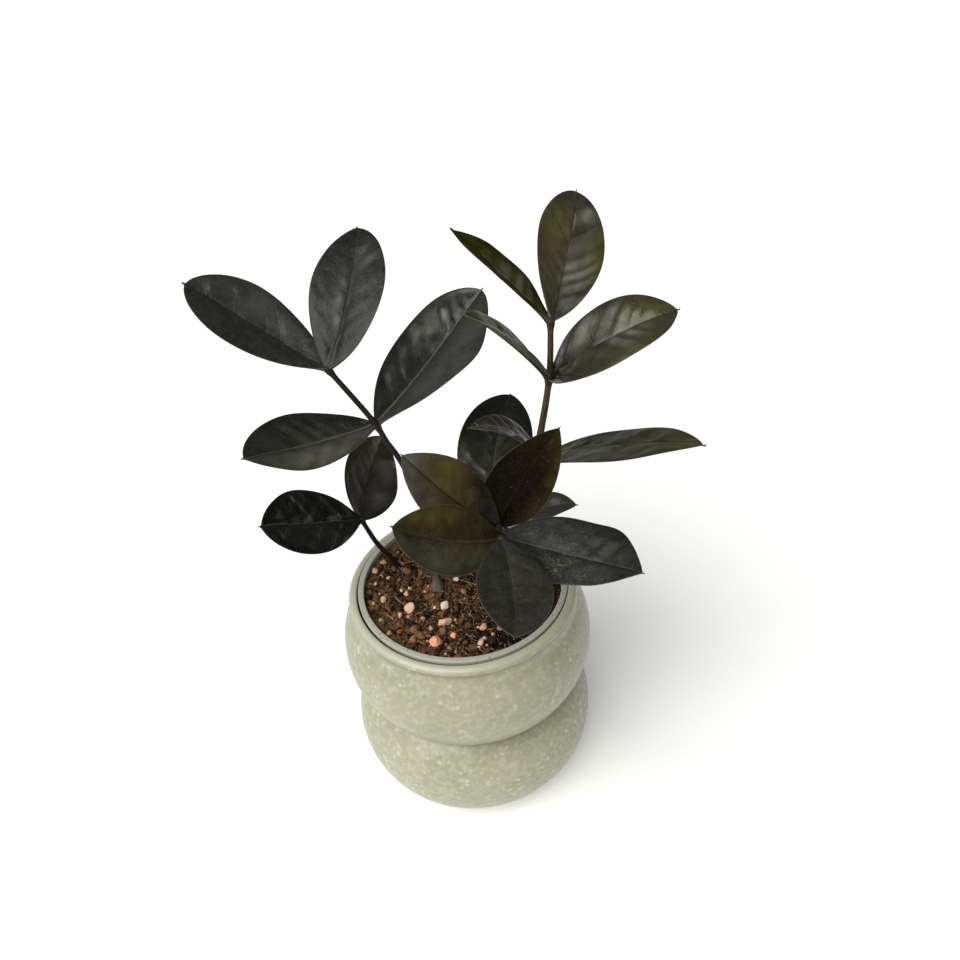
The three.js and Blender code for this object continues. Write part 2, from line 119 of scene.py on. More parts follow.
FRONDS = {
    "frond_left_short": dict(
        slot="leaf_blue_black", foot=(-27.3, 15), radius=(1.7, 1), seed=3,
        wax=[(0.008, 0.006, 0.005), (0.02, 0.014, 0.01), (0.016, 0.012, 0.009)],
        route=[(-32.2, 14.8, 110), (-36.3, 13.5, 119), (-41, 12, 135)],
        leaflets=[
            (2, 219, 29, -42, 49, 28.8, -1.3, 0, 0.58),
            (2, 79.5, 11.5, 44, 48.8, 28, -0.9, 1.2, 0.45),
        ],
        looks=[
            dict(deep=(0.002, 0.0021, 0.0022), gloss=0.42, rough=0.22, rib=0.06, quilt=(0.42, 0.45)),
            dict(deep=(0.0095, 0.0074, 0.0049), rough=0.33, rib=-0.2, quilt=(1.3, 0.1),
                pale=[(0.3, -0.5, 0.2, 0.5, 0.7), (0.62, -0.5, 0.16, 0.5, 0.8)],
                gold=[(0.95, 0.2, 0.35, 1.2, 0.3)]),
        ],
    ),
    "frond_left_tall": dict(
        slot="leaf_charcoal", foot=(-11.5, 4.2), radius=(2.5, 0.95), taper=0.3, flare=0.62, seed=17,
        wax=[(0.007, 0.005, 0.004), (0.018, 0.014, 0.009), (0.14, 0.135, 0.1)],
        route=[(-12.4, 4, 138), (-18.9, -1, 173.5), (-23.2, -3, 185.7), (-25.8, -4, 194),
            (-38.6, -8, 221.4)],
        leaflets=[
            (3, 213.5, 11.3, -18, 51.2, 27.5, -5.3, -2.6, 0.54),
            (3, 47.8, 24, -1.5, 69.8, 37.4, -5.6, 3.2, 0.6),
            (4, 162, 32, -16.5, 55.5, 27.2, -3.5, -1.8, 0.59),
            (4, 74, 37, 3, 55.5, 27, 4, -3.5, 0.51),
        ],
        looks=[
            dict(deep=(0.01, 0.0096, 0.0073), gloss=0.4, rough=0.27, shine=COOL, line=0.1,
                quilt=(0.35, 0.15), pale=[(0.5, 0.6, 0.7, 0.6, 0.8)],
                painted_highlight=[(0.45, 0.6, 0.35, 0.5, 0.3), (0.55, -0.4, 0.35, 0.5, 0.22)],
                dusty=[(0.5, 0.6, 0.4, 0.5, 0.5)], dark=[(0.5, -0.6, 0.6, 0.6, 0.6)],
                moss=[(0.45, 0.6, 0.3, 0.5, 0.3)]),
            dict(deep=(0.0125, 0.0121, 0.0097), gloss=0.42, rough=0.27, shine=COOL, rib=0.9,
                quilt=(0.08, 0.5), edge=[(0.6, -1, 0.2, 4.2)],
                pale=[(0.45, -0.5, 0.6, 0.6, 0.65), (0.6, 0.45, 0.4, 0.4, 0.4)],
                painted_highlight=[(0.76, 0.38, 0.07, 0.18, 1.2), (0.64, 0.45, 0.08, 0.14, 1.1),
                    (0.56, 0.6, 0.14, 0.12, 1), (0.42, 0.6, 0.12, 0.22, 0.6)],
                dark=[(0.35, 0.95, 0.4, 0.25, 0.5)]),
            dict(deep=(0.0128, 0.013, 0.011), shine=COOL, rib=-0.6, line=0.02, quilt=(0.2, 0.15),
                pale=[(0.5, -0.5, 0.6, 0.5, 0.45)], dusty=[(0.2, -0.5, 0.2, 0.5, 0.5)]),
            dict(deep=(0.0115, 0.0125, 0.0112), gloss=0.24, shine=COOL, rib=-0.3, line=0,
                quilt=(0.1, 0.28), pale=[(0.45, 0.3, 0.3, 0.6, 0.3)],
                painted_highlight=[(0.3, 0.14, 0.06, 0.12, 0.65), (0.42, 0.2, 0.07, 0.12, 0.6),
                    (0.75, -0.4, 0.09, 0.35, 0.45)],
                dusty=[(0.5, -0.9, 0.4, 0.3, 0.6), (0.75, 0, 0.2, 1, 0.3)],
                dark=[(0.95, 0, 0.15, 1.5, 0.5), (0.05, 0, 0.3, 1.2, 0.8)]),
        ],
    ),
    "frond_front": dict(
        slot="leaf_olive_black", foot=(11.6, 0.4), radius=(2.5, 1.2), seed=29,
        wax=[(0.02, 0.017, 0.01), (0.05, 0.046, 0.028), (0.06, 0.055, 0.038)],
        route=[(15.8, 1, 134), (16.3, -11, 146), (16.8, -19, 151.5), (17, -36.2, 162.2),
            (17.1, -41, 165.5)],
        leaflets=[
            (0, 77, 33, 4, 61.5, 32.5, 2.5, 3.5, 0.55),
            (1, 2, 60, 78, 50.5, 25.5, 1.5, 2, 0.45),
            (2, 173.5, 47.3, -29, 49, 28.6, 1.8, 3.3, 0.49),
            (3, 205, 31, -54, 46, 25, 1, 3, 0.54),
            (3, 330, 4, 12, 53, 29.2, -5.6, 3, 0.47),
            (4, 271, 3, -11, 47, 26.5, -1.5, 2, 0.57),
        ],
        looks=[
            dict(deep=(0.0085, 0.0088, 0.0062), gloss=0.34, rough=0.29, rib=0.25, quilt=(0.4, 0.4),
                pale=[(0.3, 0.4, 0.35, 0.9, 0.5)], dark=[(0.95, 0, 0.25, 1.5, 0.5)]),
            dict(deep=(0.0042, 0.0023, 0.0008), gloss=0.03, rib=0.03, line=-0.2,
                olive=[(1, 0, 0.35, 2, 0.2), (0.65, -1, 0.5, 0.4, 0.35)],
                gold=[(0.6, -1, 0.6, 0.4, 0.12)]),
            dict(deep=(0.033, 0.0265, 0.0135), gloss=0.07, rib=-0.7, line=-0.2, quilt=(0.2, 0.25),
                pale=[(0.8, 0.5, 0.35, 0.8, 1), (1, 0, 0.2, 1.5, 1.2)],
                dark=[(0.1, -0.4, 0.5, 1.6, 0.85), (0.3, -0.7, 0.22, 0.6, 1)],
                olive=[(0.55, -0.1, 0.34, 1, 0.85)], moss=[(0.7, -0.7, 0.2, 0.5, 0.8)],
                gold=[(0.38, 0.1, 0.22, 0.5, 0.45)]),
            dict(deep=(0.0138, 0.0115, 0.0038), gloss=0.05, rib=0.15, line=-0.1, quilt=(0.2, 0.3),
                pale=[(0.55, 0.6, 0.5, 0.5, 0.5)], dusty=[(0.6, 0.3, 0.3, 0.5, 0.3)],
                olive=[(0.7, -0.65, 0.5, 0.5, 0.7), (0.4, 0.35, 0.35, 0.5, 0.35)],
                green=[(0.2, 0.75, 0.12, 0.4, 1)]),
            dict(deep=(0.01, 0.0106, 0.0098), gloss=0.25, rough=0.4, shine=COOL, rib=0.1, line=0.06,
                quilt=(0.25, 0.25), edge=[(0.74, 1, 0.15, 2.4), (0.82, -1, 0.13, 2)],
                pale=[(0.7, -0.5, 0.4, 0.5, 0.3)],
                dusty=[(0.35, 0.2, 0.4, 0.6, 0.7), (0.45, -0.6, 0.45, 0.6, 1.7)],
                green=[(0.75, 0.2, 0.1, 0.3, 0.25)]),
            dict(deep=(0.014, 0.0138, 0.0088), gloss=0.15, rough=0.42, rib=0.1, quilt=(0.15, 0.15),
                pale=[(0.5, 0, 0.8, 2, 0.15)], dusty=[(0.5, 0, 0.8, 2, 0.25)]),
        ],
    ),
    "frond_right_tall": dict(
        slot="leaf_bronze_black", foot=(23, 3.5), radius=(2.8, 1.1), seed=41,
        wax=[(0.045, 0.036, 0.02), (0.1, 0.084, 0.048), (0.11, 0.1, 0.065)],
        route=[(29.5, 9.7, 131), (35, 15, 159), (41, 17, 195), (42, 18, 219)],
        leaflets=[
            (0, 341, 28, 15, 24.5, 13.5, 3.5, -1, 0.51),
            (1, 326, 23, -9, 74, 34, 0.5, -4.2, 0.55),
            (1, 191, 39, -4, 34, 14, 5, -1, 0.5),
            (2, 208, 49, -7, 51.8, 23.3, 1.5, 0, 0.52),
            (2, 347, 34.5, 22.5, 56, 31.3, 6.4, -3.2, 0.56),
            (3, 130, 24, 28, 56.7, 26, 0.6, 2.6, 0.6),
            (3, 70, 35, 46, 56.5, 32.8, -5, -3, 0.64),
        ],
        looks=[
            dict(deep=(0.03, 0.03, 0.022), rib=0.1, quilt=(0.05, 0.05), pale=[(0.5, 0, 1, 2, 0.9)]),
            dict(deep=(0.015, 0.0145, 0.0085), gloss=0.04, rough=0.42, rib=-0.7, quilt=(0.05, 0.12),
                flat=0.85, pale=[(0.4, -0.5, 0.5, 0.7, 0.3)], moss=[(0.95, 0, 0.3, 2, 0.5)]),
            dict(deep=(0.018, 0.0155, 0.0125), gloss=0.4, rib=1, line=1, quilt=(0.4, 0.4),
                pale=[(0.5, 0.4, 0.6, 0.8, 0.5)]),
            dict(deep=(0.012, 0.0115, 0.0035), gloss=0.03, rib=0.5, line=0.2, quilt=(0.1, 0.1),
                pale=[(0.5, 1, 0.6, 0.3, 0.5)], moss=[(0.6, 0, 0.8, 1.8, 0.7)]),
            dict(deep=(0.0125, 0.0112, 0.007), gloss=0.55, rough=0.28, rib=-0.3, line=-0.3, margin=0.2,
                quilt=(0.35, 0.6), edge=[(0.85, -1, 0.14, 2)],
                pale=[(0.4, 0.5, 0.3, 0.5, 0.3), (0.65, -0.25, 0.2, 0.35, 0.4)],
                painted_highlight=[(0.64, -0.3, 0.16, 0.35, 0.8), (0.42, 0.42, 0.26, 0.6, 0.8),
                    (0.14, 0.5, 0.12, 0.5, 0.8)], dark=[(0.2, -0.7, 0.35, 0.6, 0.6)],
                moss=[(0.6, -0.8, 0.6, 0.5, 0.35), (0.85, 0.3, 0.25, 0.8, 0.6)]),
            dict(deep=(0.007, 0.0066, 0.0012), gloss=0, rough=0.4, rib=0.8, quilt=(0.3, 0.3),
                painted_highlight=[(0.42, 0, 0.2, 0.9, 0.5)], moss=[(0.5, 0, 0.8, 2, 0.5)]),
            dict(deep=(0.0185, 0.0165, 0.008), gloss=0.5, rough=0.34, rib=-0.5, line=-0.5,
                quilt=(0.6, 0.4), flat=0.45,
                pale=[(0.45, -0.35, 0.25, 0.5, 1), (0.85, -0.5, 0.1, 0.4, 0.8),
                    (0.15, -0.5, 0.2, 0.6, 0.7)],
                painted_highlight=[(0.43, -0.4, 0.2, 0.5, 1.1), (0.86, -0.42, 0.09, 0.35, 1.1),
                    (0.22, -0.45, 0.14, 0.4, 0.7)], dark=[(1, 0, 0.08, 1, 1)],
                olive=[(0.5, 0.5, 0.45, 0.6, 0.5)],
                moss=[(0.72, 0.5, 0.16, 0.5, 0.9), (0.62, -0.75, 0.25, 0.4, 0.9)],
                gold=[(0.52, 0.4, 0.12, 0.3, 0.4), (0.8, 0.25, 0.1, 0.25, 0.4)]),
        ],
    ),
}

# Granules that lie where they are seen from the front: x, y, radius and kind.
SEEN_GRANULES = [
    (-12.9, -31.4, 2.7, "orange"), (-8.8, -17.3, 2.5, "cream"), (-8.6, -7.9, 2.3, "white"),
    (-24.2, -9.4, 2.3, "cream"), (-5.0, -25.9, 2.0, "orange"), (-35.7, 17.0, 1.8, "tan"),
    (6.1, -31.8, 1.7, "cream"), (-39.0, 11.0, 1.6, "tan"), (0.2, -0.6, 1.6, "brown"),
    (7.4, -21.2, 1.5, "pink"), (-27.7, -13.3, 1.5, "pink"), (-21.7, -28.7, 1.5, "brown"),
    (-25.7, 0.1, 1.4, "cream"), (-35.1, -6.1, 1.4, "cream"), (-31.8, -25.7, 1.4, "red"),
    (-3.0, 8.2, 1.4, "white"), (14.8, -22.3, 1.4, "grey"), (-18.2, -15.7, 1.3, "tan"),
    (-14.6, -21.7, 1.3, "tan"), (-23.8, 2.9, 1.1, "cream"), (-24.0, -15.4, 1.1, "tan"),
    (11.4, -24.7, 1.1, "cream"), (7.9, -28.3, 1.1, "cream"), (-36.2, 8.0, 1.0, "cream"),
    (-33.5, 7.8, 1.0, "cream"), (-38.3, 2.3, 1.0, "tan"), (-35.6, -18.0, 1.1, "grey"),
    (-6.8, -34.3, 1.0, "grey"), (5.2, -35.1, 0.9, "white"), (-27.4, 1.2, 0.9, "white"),
    (-12.9, -8.3, 0.9, "white"), (-21.0, -18.2, 0.9, "grey"), (-17.6, 3.9, 0.9, "cream"),
    (-21.8, 12.2, 0.9, "grey"), (-16.1, -29.6, 0.8, "tan"), (-4.2, -36.4, 0.8, "grey"),
    (15.8, -32.9, 0.8, "grey"), (-39.2, -8.3, 0.8, "pink"), (5.3, -20.5, 0.7, "cream"),
]

CAMERA = SimpleNamespace(place=(11.05, -266.96, 372.04), down=38.33, roll=-4.51, focal=32, sensor=36)
FLOOR = SimpleNamespace(reach=20000.0, drop=0.05)


# ---------------------------------------------------------------- numbers and curves

def unit(v):
    return v / np.linalg.norm(v)


def mix(a, b, share):
    return a + (b - a) * share


def ease(value, start, end):
    share = np.clip((value - start) / (end - start), 0, 1)
    return share * share * (3 - 2 * share)


def bell(value):
    """1 at 0, and towards 0 on either side."""
    return np.exp(-(value**2))


def soft_noise(x, y, size, seed):
    """Smooth random heights from -1 to 1 on the plane, with bumps about size apart."""
    cells = np.random.default_rng(seed).uniform(-1, 1, (256, 256))
    x, y = np.asarray(x) / size + 91.3, np.asarray(y) / size + 57.7
    i, j = np.floor(x).astype(int), np.floor(y).astype(int)
    u, v = x - i, y - j
    u, v = u * u * (3 - 2 * u), v * v * (3 - 2 * v)

    def cell(a, b):
        return cells[a % 256, b % 256]

    return mix(mix(cell(i, j), cell(i + 1, j), u), mix(cell(i, j + 1), cell(i + 1, j + 1), u), v)


def arc(centre, height, reach, half_height, start, end, pieces):
    """Points on an oval from one angle to another, in degrees from level."""
    angles = np.radians(np.linspace(start, end, pieces + 1))
    return [(centre + reach * math.cos(a), height + half_height * math.sin(a)) for a in angles]


def spaced(outline, step):
    """The same outline with points about step apart."""
    points = [outline[0]]
    for a, b in zip(outline, outline[1:]):
        pieces = max(1, round(math.dist(a, b) / step))
        points += [(mix(a[0], b[0], k / pieces), mix(a[1], b[1], k / pieces)) for k in range(1, pieces + 1)]
    return np.array(points)


def rounded(outline, passes):
    """Eases the corners of a finely spaced outline. Its ends stay."""
    points = outline.copy()
    for _ in range(passes):
        points[1:-1] = points[1:-1] / 2 + (points[:-2] + points[2:]) / 4
    return points


def smooth_route(route, step):
    """Points about step apart on a centripetal curve, with their share of its length."""
    points = [np.array(p, float) for p in route]
    points = [2 * points[0] - points[1], *points, 2 * points[-1] - points[-2]]
    dense = []
    for p0, p1, p2, p3 in zip(points, points[1:], points[2:], points[3:]):
        d0, d1, d2 = (math.sqrt(np.linalg.norm(b - a)) for a, b in ((p0, p1), (p1, p2), (p2, p3)))
        t1 = ((p1 - p0) / d0 - (p2 - p0) / (d0 + d1) + (p2 - p1) / d1) * d1
        t2 = ((p2 - p1) / d1 - (p3 - p1) / (d1 + d2) + (p3 - p2) / d2) * d1
        s = np.linspace(0, 1, 60, endpoint=False)[:, None]
        dense.append(p1 + t1 * s + (3 * (p2 - p1) - 2 * t1 - t2) * s**2 + (2 * (p1 - p2) + t1 + t2) * s**3)
    dense = np.vstack([*dense, points[-2]])
    travelled = np.concatenate([[0], np.cumsum(np.linalg.norm(np.diff(dense, axis=0), axis=1))])
    count = max(4, round(travelled[-1] / step))
    wanted = np.linspace(0, travelled[-1], count + 1)
    return np.stack([np.interp(wanted, travelled, dense[:, k]) for k in range(3)], 1), wanted / travelled[-1]


def frames_along(points):
    """Directions along a line of points and two directions across it that turn as little as they can."""
    along = np.gradient(points, axis=0)
    along /= np.linalg.norm(along, axis=1)[:, None]
    start = np.cross(along[0], (0, 0, 1.0))
    side = unit(start) if np.linalg.norm(start) > 0.05 else np.array([1.0, 0, 0])
    sides = []
    for direction in along:
        side = unit(side - direction * (side @ direction))
        sides.append(side)
    sides = np.array(sides)
    return along, sides, np.cross(along, sides)


# ---------------------------------------------------------------- meshes

def skin(rows, sides):
    """Faces between closed loops of points, with both ends closed."""
    ring = np.arange(sides)
    after = (ring + 1) % sides
    faces = []
    for r in range(rows - 1):
        low, high = r * sides, (r + 1) * sides
        faces += np.stack([low + ring, low + after, high + after, high + ring], 1).tolist()
    return faces + [ring[::-1].tolist(), (ring + (rows - 1) * sides).tolist()]


def tube(points, radii, sides):
    """A closed round bar along a line of points."""
    _, side, front = frames_along(points)
    angles = np.linspace(0, 2 * math.pi, sides, endpoint=False)
    across = side[:, None] * np.cos(angles)[None, :, None] + front[:, None] * np.sin(angles)[None, :, None]
    radii = np.broadcast_to(np.asarray(radii, float), (len(points),))
    return (points[:, None] + across * radii[:, None, None]).reshape(-1, 3), skin(len(points), sides)


def lathe(outline, sectors):
    """Turns an outline that starts and ends on the axis. Also gives each point's place in the outline."""
    angles = np.linspace(0, 2 * math.pi, sectors, endpoint=False)
    inner = outline[1:-1]
    rings = np.stack([
        inner[:, :1] * np.cos(angles), inner[:, :1] * np.sin(angles), np.repeat(inner[:, 1:], sectors, 1),
    ], 2).reshape(-1, 3)
    ends = np.array([(0, 0, outline[0][1]), (0, 0, outline[-1][1])])
    faces = skin(len(inner), sectors)[:-2]
    first, last = len(rings), len(rings) + 1
    top = (len(inner) - 1) * sectors
    for k in range(sectors):
        after = (k + 1) % sectors
        faces += [[first, after, k], [last, top + k, top + after]]
    place = np.concatenate([np.repeat(np.arange(1, len(outline) - 1), sectors), [0, len(outline) - 1]])
    return np.vstack([rings, ends]), faces, place


def new_mesh(name, points, faces):
    mesh = bpy.data.meshes.new(name)
    mesh.from_pydata((np.asarray(points) * MM).tolist(), [], faces)
    return mesh


def placed(name, data):
    made = bpy.data.objects.new(name, data)
    scene.collection.objects.link(made)
    return made


def new_piece(name, shape, node, slot, material, smooth=True, **values):
    """A mesh piece that rides with the part, stands for a CAD node and carries values at its points."""
    points, faces = shape
    mesh = new_mesh(name, points, faces)
    mesh.polygons.foreach_set("use_smooth", [smooth] * len(mesh.polygons))
    for key, value in values.items():
        value = np.broadcast_to(np.asarray(value, np.float32), (len(points),) + np.shape(value)[1:])
        kind = "FLOAT" if value.ndim == 1 else "FLOAT_VECTOR"
        field = "value" if value.ndim == 1 else "vector"
        mesh.attributes.new(key, kind, "POINT").data.foreach_set(field, np.ascontiguousarray(value).ravel())
    mesh.materials.append(material)
    piece = placed(name, mesh)
    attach(piece, BODY)
    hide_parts(node)
    return piece


def joined(shapes):
    """Many small shapes as one, with the number of the shape that each point belongs to."""
    points, faces, owner = [], [], []
    start = 0
    for number, (own_points, own_faces) in enumerate(shapes):
        points.append(own_points)
        faces += [[start + k for k in face] for face in own_faces]
        owner.append(np.full(len(own_points), number))
        start += len(own_points)
    return (np.vstack(points), faces), np.concatenate(owner)


def ball(divisions):
    """Points and faces of a unit ball made of triangles."""
    made = bmesh.new()
    bmesh.ops.create_icosphere(made, subdivisions=divisions, radius=1)
    points = np.array([v.co for v in made.verts])
    faces = [[v.index for v in face.verts] for face in made.faces]
    made.free()
    return points, faces


# ---------------------------------------------------------------- materials

class Look:
    """A Principled material that is built by short calls, each of which gives a node's output."""

    def __init__(self, name):
        self.material = bpy.data.materials.new(name)
        self.material.use_nodes = True
        self.tree = self.material.node_tree
        self.shader = self.tree.nodes["Principled BSDF"]
        self.place = self.node("ShaderNodeTexCoord").outputs["Object"]

    def node(self, kind, **settings):
        made = self.tree.nodes.new(kind)
        for key, value in settings.items():
            setattr(made, key, value)
        return made

    def put(self, socket, value):
        if isinstance(value, bpy.types.NodeSocket):
            self.tree.links.new(value, socket)
        elif isinstance(value, tuple) and len(value) == 3 and socket.type == "RGBA":
            socket.default_value = (*value, 1)
        else:
            socket.default_value = value

    def set(self, **values):
        for key, value in values.items():
            self.put(self.shader.inputs[key.replace("_", " ")], value)

    def math(self, operation, a, b=0.0, clamp=False):
        made = self.node("ShaderNodeMath", operation=operation, use_clamp=clamp)
        self.put(made.inputs[0], a)
        self.put(made.inputs[1], b)
        return made.outputs[0]

    def times(self, a, b):
        return self.math("MULTIPLY", a, b)

    def plus(self, a, b):
        return self.math("ADD", a, b)

    def minus(self, a, b):
        return self.math("SUBTRACT", a, b)

    def span(self, value, start, end, low=0.0, high=1.0):
        """Eases value from start to end into low to high."""
        made = self.node("ShaderNodeMapRange", interpolation_type="SMOOTHSTEP")
        ends = {"Value": value, "From Min": start, "From Max": end, "To Min": low, "To Max": high}
        for key, number in ends.items():
            self.put(made.inputs[key], number)
        return made.outputs[0]

    def blend(self, share, a, b):
        made = self.node("ShaderNodeMix", data_type="RGBA")
        self.put(made.inputs[0], share)
        self.put(made.inputs[6], a)
        self.put(made.inputs[7], b)
        return made.outputs[2]

    def tint(self, colour, mask, amount, other):
        """Lays another colour over a colour, by a mask times an amount."""
        return self.blend(self.times(mask, amount), colour, other)

    def value(self, key):
        return self.node("ShaderNodeAttribute", attribute_name=key).outputs["Fac"]

    def vector(self, key):
        return self.node("ShaderNodeAttribute", attribute_name=key).outputs["Vector"]

    def noise(self, size, detail=3.0, roughness=0.5, place=None, distortion=0.0):
        """Cloudy values about 0.5, with features about size millimetres across."""
        made = self.node("ShaderNodeTexNoise")
        self.put(made.inputs["Vector"], place or self.place)
        self.put(made.inputs["Scale"], 1 / (size * (MM if place is None else 1)))
        self.put(made.inputs["Detail"], detail)
        self.put(made.inputs["Roughness"], roughness)
        self.put(made.inputs["Distortion"], distortion)
        return made.outputs["Fac"]

    def cells(self, size, feature="F1", place=None, output="Distance"):
        made = self.node("ShaderNodeTexVoronoi", feature=feature)
        self.put(made.inputs["Vector"], place or self.place)
        self.put(made.inputs["Scale"], 1 / (size * (MM if place is None else 1)))
        return made.outputs[output]

    def shaken(self, amount, size):
        """The object's own coordinates, shifted by up to amount in millimetres, for ragged edges."""
        noise = self.node("ShaderNodeTexNoise")
        self.put(noise.inputs["Vector"], self.place)
        self.put(noise.inputs["Scale"], 1 / (size * MM))
        moved = self.node("ShaderNodeVectorMath", operation="MULTIPLY_ADD")
        self.put(moved.inputs[0], noise.outputs["Color"])
        moved.inputs[1].default_value = (2 * amount * MM,) * 3
        self.put(moved.inputs[2], self.place)
        return moved.outputs[0]

    def bump(self, height, depth):
        """Raises the surface by height times depth in millimetres, on top of any earlier bump."""
        made = self.node("ShaderNodeBump")
        made.inputs["Distance"].default_value = depth * MM
        self.put(made.inputs["Height"], height)
        before = self.shader.inputs["Normal"]
        if before.is_linked:
            self.put(made.inputs["Normal"], before.links[0].from_socket)
        self.put(before, made.outputs[0])


def glaze_look():
    """Satin celadon glaze with soft cream blotches, paler on the lip where it runs thin and with a painted
    highlight there, and olive where it pools, darkened with painted shade at the waist's crease and in the
    groove under the lip.
    """
    look = Look("celadon_glaze")
    ragged = look.shaken(0.35, 0.7)
    broad = look.span(look.noise(22, 2.0), 0.35, 0.65)
    colour = look.blend(broad, (0.284, 0.286, 0.19), (0.317, 0.311, 0.214))
    greener = look.span(look.noise(6, 3.0), 0.5, 0.72)
    colour = look.tint(colour, greener, 0.6, (0.278, 0.293, 0.19))
    lower = look.value("lower")
    drift = look.plus(look.times(lower, 0.04), look.times(look.noise(8, 2.0), 0.22))
    clouds = look.span(look.plus(look.noise(2.6 * MM, 3.0, 0.55, place=ragged), drift), 0.54, 0.84)
    colour = look.tint(colour, clouds, 0.42, (0.47, 0.47, 0.36))
    chance = look.node("ShaderNodeSeparateColor")
    look.put(chance.inputs[0], look.cells(2.3 * MM, place=ragged, output="Color"))
    reach = look.span(look.plus(chance.outputs[0], drift), 0.75, 1.05, 0.0, 0.7)
    flecks = look.math("DIVIDE", look.minus(reach, look.cells(2.3 * MM, place=ragged)), 0.5, clamp=True)
    milky = look.plus(look.times(lower, 0.12), look.span(look.noise(9, 2.0), 0.4, 0.62, 0.14, 0.66))
    colour = look.tint(colour, flecks, milky, (0.53, 0.53, 0.42))
    dots = look.span(look.cells(3.4), 0.05, 0.13, 1.0, 0.0)
    colour = look.tint(colour, dots, 0.5, (0.6, 0.6, 0.5))
    # Olive where the glaze pools, with painted shade in the crease at the waist and in the groove under the
    # lip.
    colour = look.blend(look.value("pool"), colour, (0.165, 0.14, 0.07))
    # Paler on the top of the lip, where the glaze runs thin, with a painted highlight along it.
    colour = look.blend(look.value("thin"), colour, (0.415, 0.42, 0.31))
    bare = look.value("bare")
    clay = look.blend(look.noise(0.8, 4.0), (0.5, 0.44, 0.36), (0.66, 0.6, 0.5))
    look.set(Base_Color=look.blend(bare, colour, clay))
    gloss = look.span(look.noise(3.0, 3.0), 0.3, 0.7, 0.34, 0.46)
    look.set(Roughness=look.math("MAXIMUM", gloss, look.times(bare, 0.9)))
    look.set(Coat_Weight=0.12, Coat_Roughness=0.2, IOR=1.5)
    look.bump(look.noise(2.6, 3.0), 0.07)
    look.bump(flecks, 0.02)
    look.bump(look.times(look.noise(0.35, 3.0), bare), 0.12)
    return look.material


def plastic_look():
    """Matt grey moulded polypropylene, scuffed, with dust and crumbs on its rim."""
    look = Look("nursery_grey")
    colour = look.blend(look.noise(14, 2.0), (0.36, 0.36, 0.3), (0.42, 0.42, 0.36))
    dust = look.times(look.span(look.noise(1.1, 5.0, 0.65), 0.57, 0.68), look.value("dusty"))
    scuffed = look.span(look.noise(2.0, 4.0), 0.3, 0.7, 0.46, 0.62)
    look.set(Base_Color=look.tint(colour, dust, 0.7, (0.09, 0.058, 0.036)))
    look.set(Roughness=scuffed, IOR=1.49, Specular_IOR_Level=0.4)
    look.bump(look.noise(0.5, 3.0), 0.04)
    look.bump(look.noise(5.0, 2.0), 0.08)
    return look.material


def earth_look(name, dark, pale, grain):
    """Peat: each crumb has its own tone, with finer grains and tan fibres on it."""
    look = Look(name)
    tone = look.times(look.value("tone"), 0.8)
    grains = look.times(look.noise(grain, 6.0, 0.72), 0.85)
    share = look.span(look.plus(tone, grains), 0.46, 1.2)
    colour = look.blend(share, dark, pale)
    threads = look.span(look.noise(0.6, 2.0, distortion=2.5), 0.6, 0.68)
    colour = look.tint(colour, threads, 0.8, (0.46, 0.28, 0.14))
    # Darker in the hollow at the front right.
    look.set(Base_Color=look.blend(look.value("damp"), colour, dark))
    look.set(Roughness=0.92, Specular_IOR_Level=0.2)
    look.bump(look.noise(grain * 0.7, 6.0, 0.7), 0.6)
    look.bump(look.cells(grain * 0.5), 0.15)
    return look.material


def strand_look():
    """Dry fibres and bits of bark, each of its own tone from brown to straw."""
    look = Look("coir_strands")
    colour = look.blend(look.value("tone"), (0.05, 0.025, 0.011), (0.52, 0.3, 0.145))
    stained = look.span(look.noise(1.2, 3.0), 0.4, 0.7)
    look.set(Base_Color=look.tint(colour, stained, 0.5, (0.09, 0.05, 0.026)), Roughness=0.75)
    look.bump(look.noise(0.3, 2.0), 0.05)
    return look.material


def granule_look(name, pale, deep, stain, depth):
    """Porous mineral: pale faces, pits and brown peat stains."""
    look = Look(name)
    clouded = look.plus(look.value("tone"), look.times(look.noise(1.3, 4.0), 0.6))
    colour = look.blend(look.span(clouded, 0.1, 1.45), pale, deep)
    pits = look.span(look.cells(0.42), 0.05, 0.3, 1.0, 0.0)
    colour = look.tint(colour, pits, 0.35, stain)
    stained = look.span(look.noise(0.8, 4.0, 0.6), 0.58, 0.7)
    look.set(Base_Color=look.tint(colour, stained, 0.6, stain), Roughness=0.85, Specular_IOR_Level=0.3)
    look.bump(look.cells(0.42), depth)
    look.bump(look.noise(0.25, 4.0), depth)
    return look.material


def stem_look(name, dark, streak, foot):
    """Waxy stem with long streaks and specks, and bark of another tone where it leaves the soil."""
    look = Look(name)
    streaks = look.noise(1.0, 3.0, place=look.vector("flat"))
    colour = look.blend(look.span(streaks, 0.35, 0.7), dark, streak)
    specks = look.span(look.noise(0.8, 3.0, 0.6), 0.52, 0.62)
    bark = look.blend(specks, foot, look.blend(0.5, foot, dark))
    colour = look.blend(look.value("pale"), colour, bark)
    look.set(Base_Color=look.tint(colour, look.value("knot"), 0.7, (0.016, 0.012, 0.008)))
    look.set(Roughness=look.span(look.noise(1.5, 3.0), 0.3, 0.7, 0.36, 0.54), Specular_IOR_Level=0.18)
    look.bump(streaks, 0.12)
    look.bump(look.value("knot"), 0.15)
    return look.material


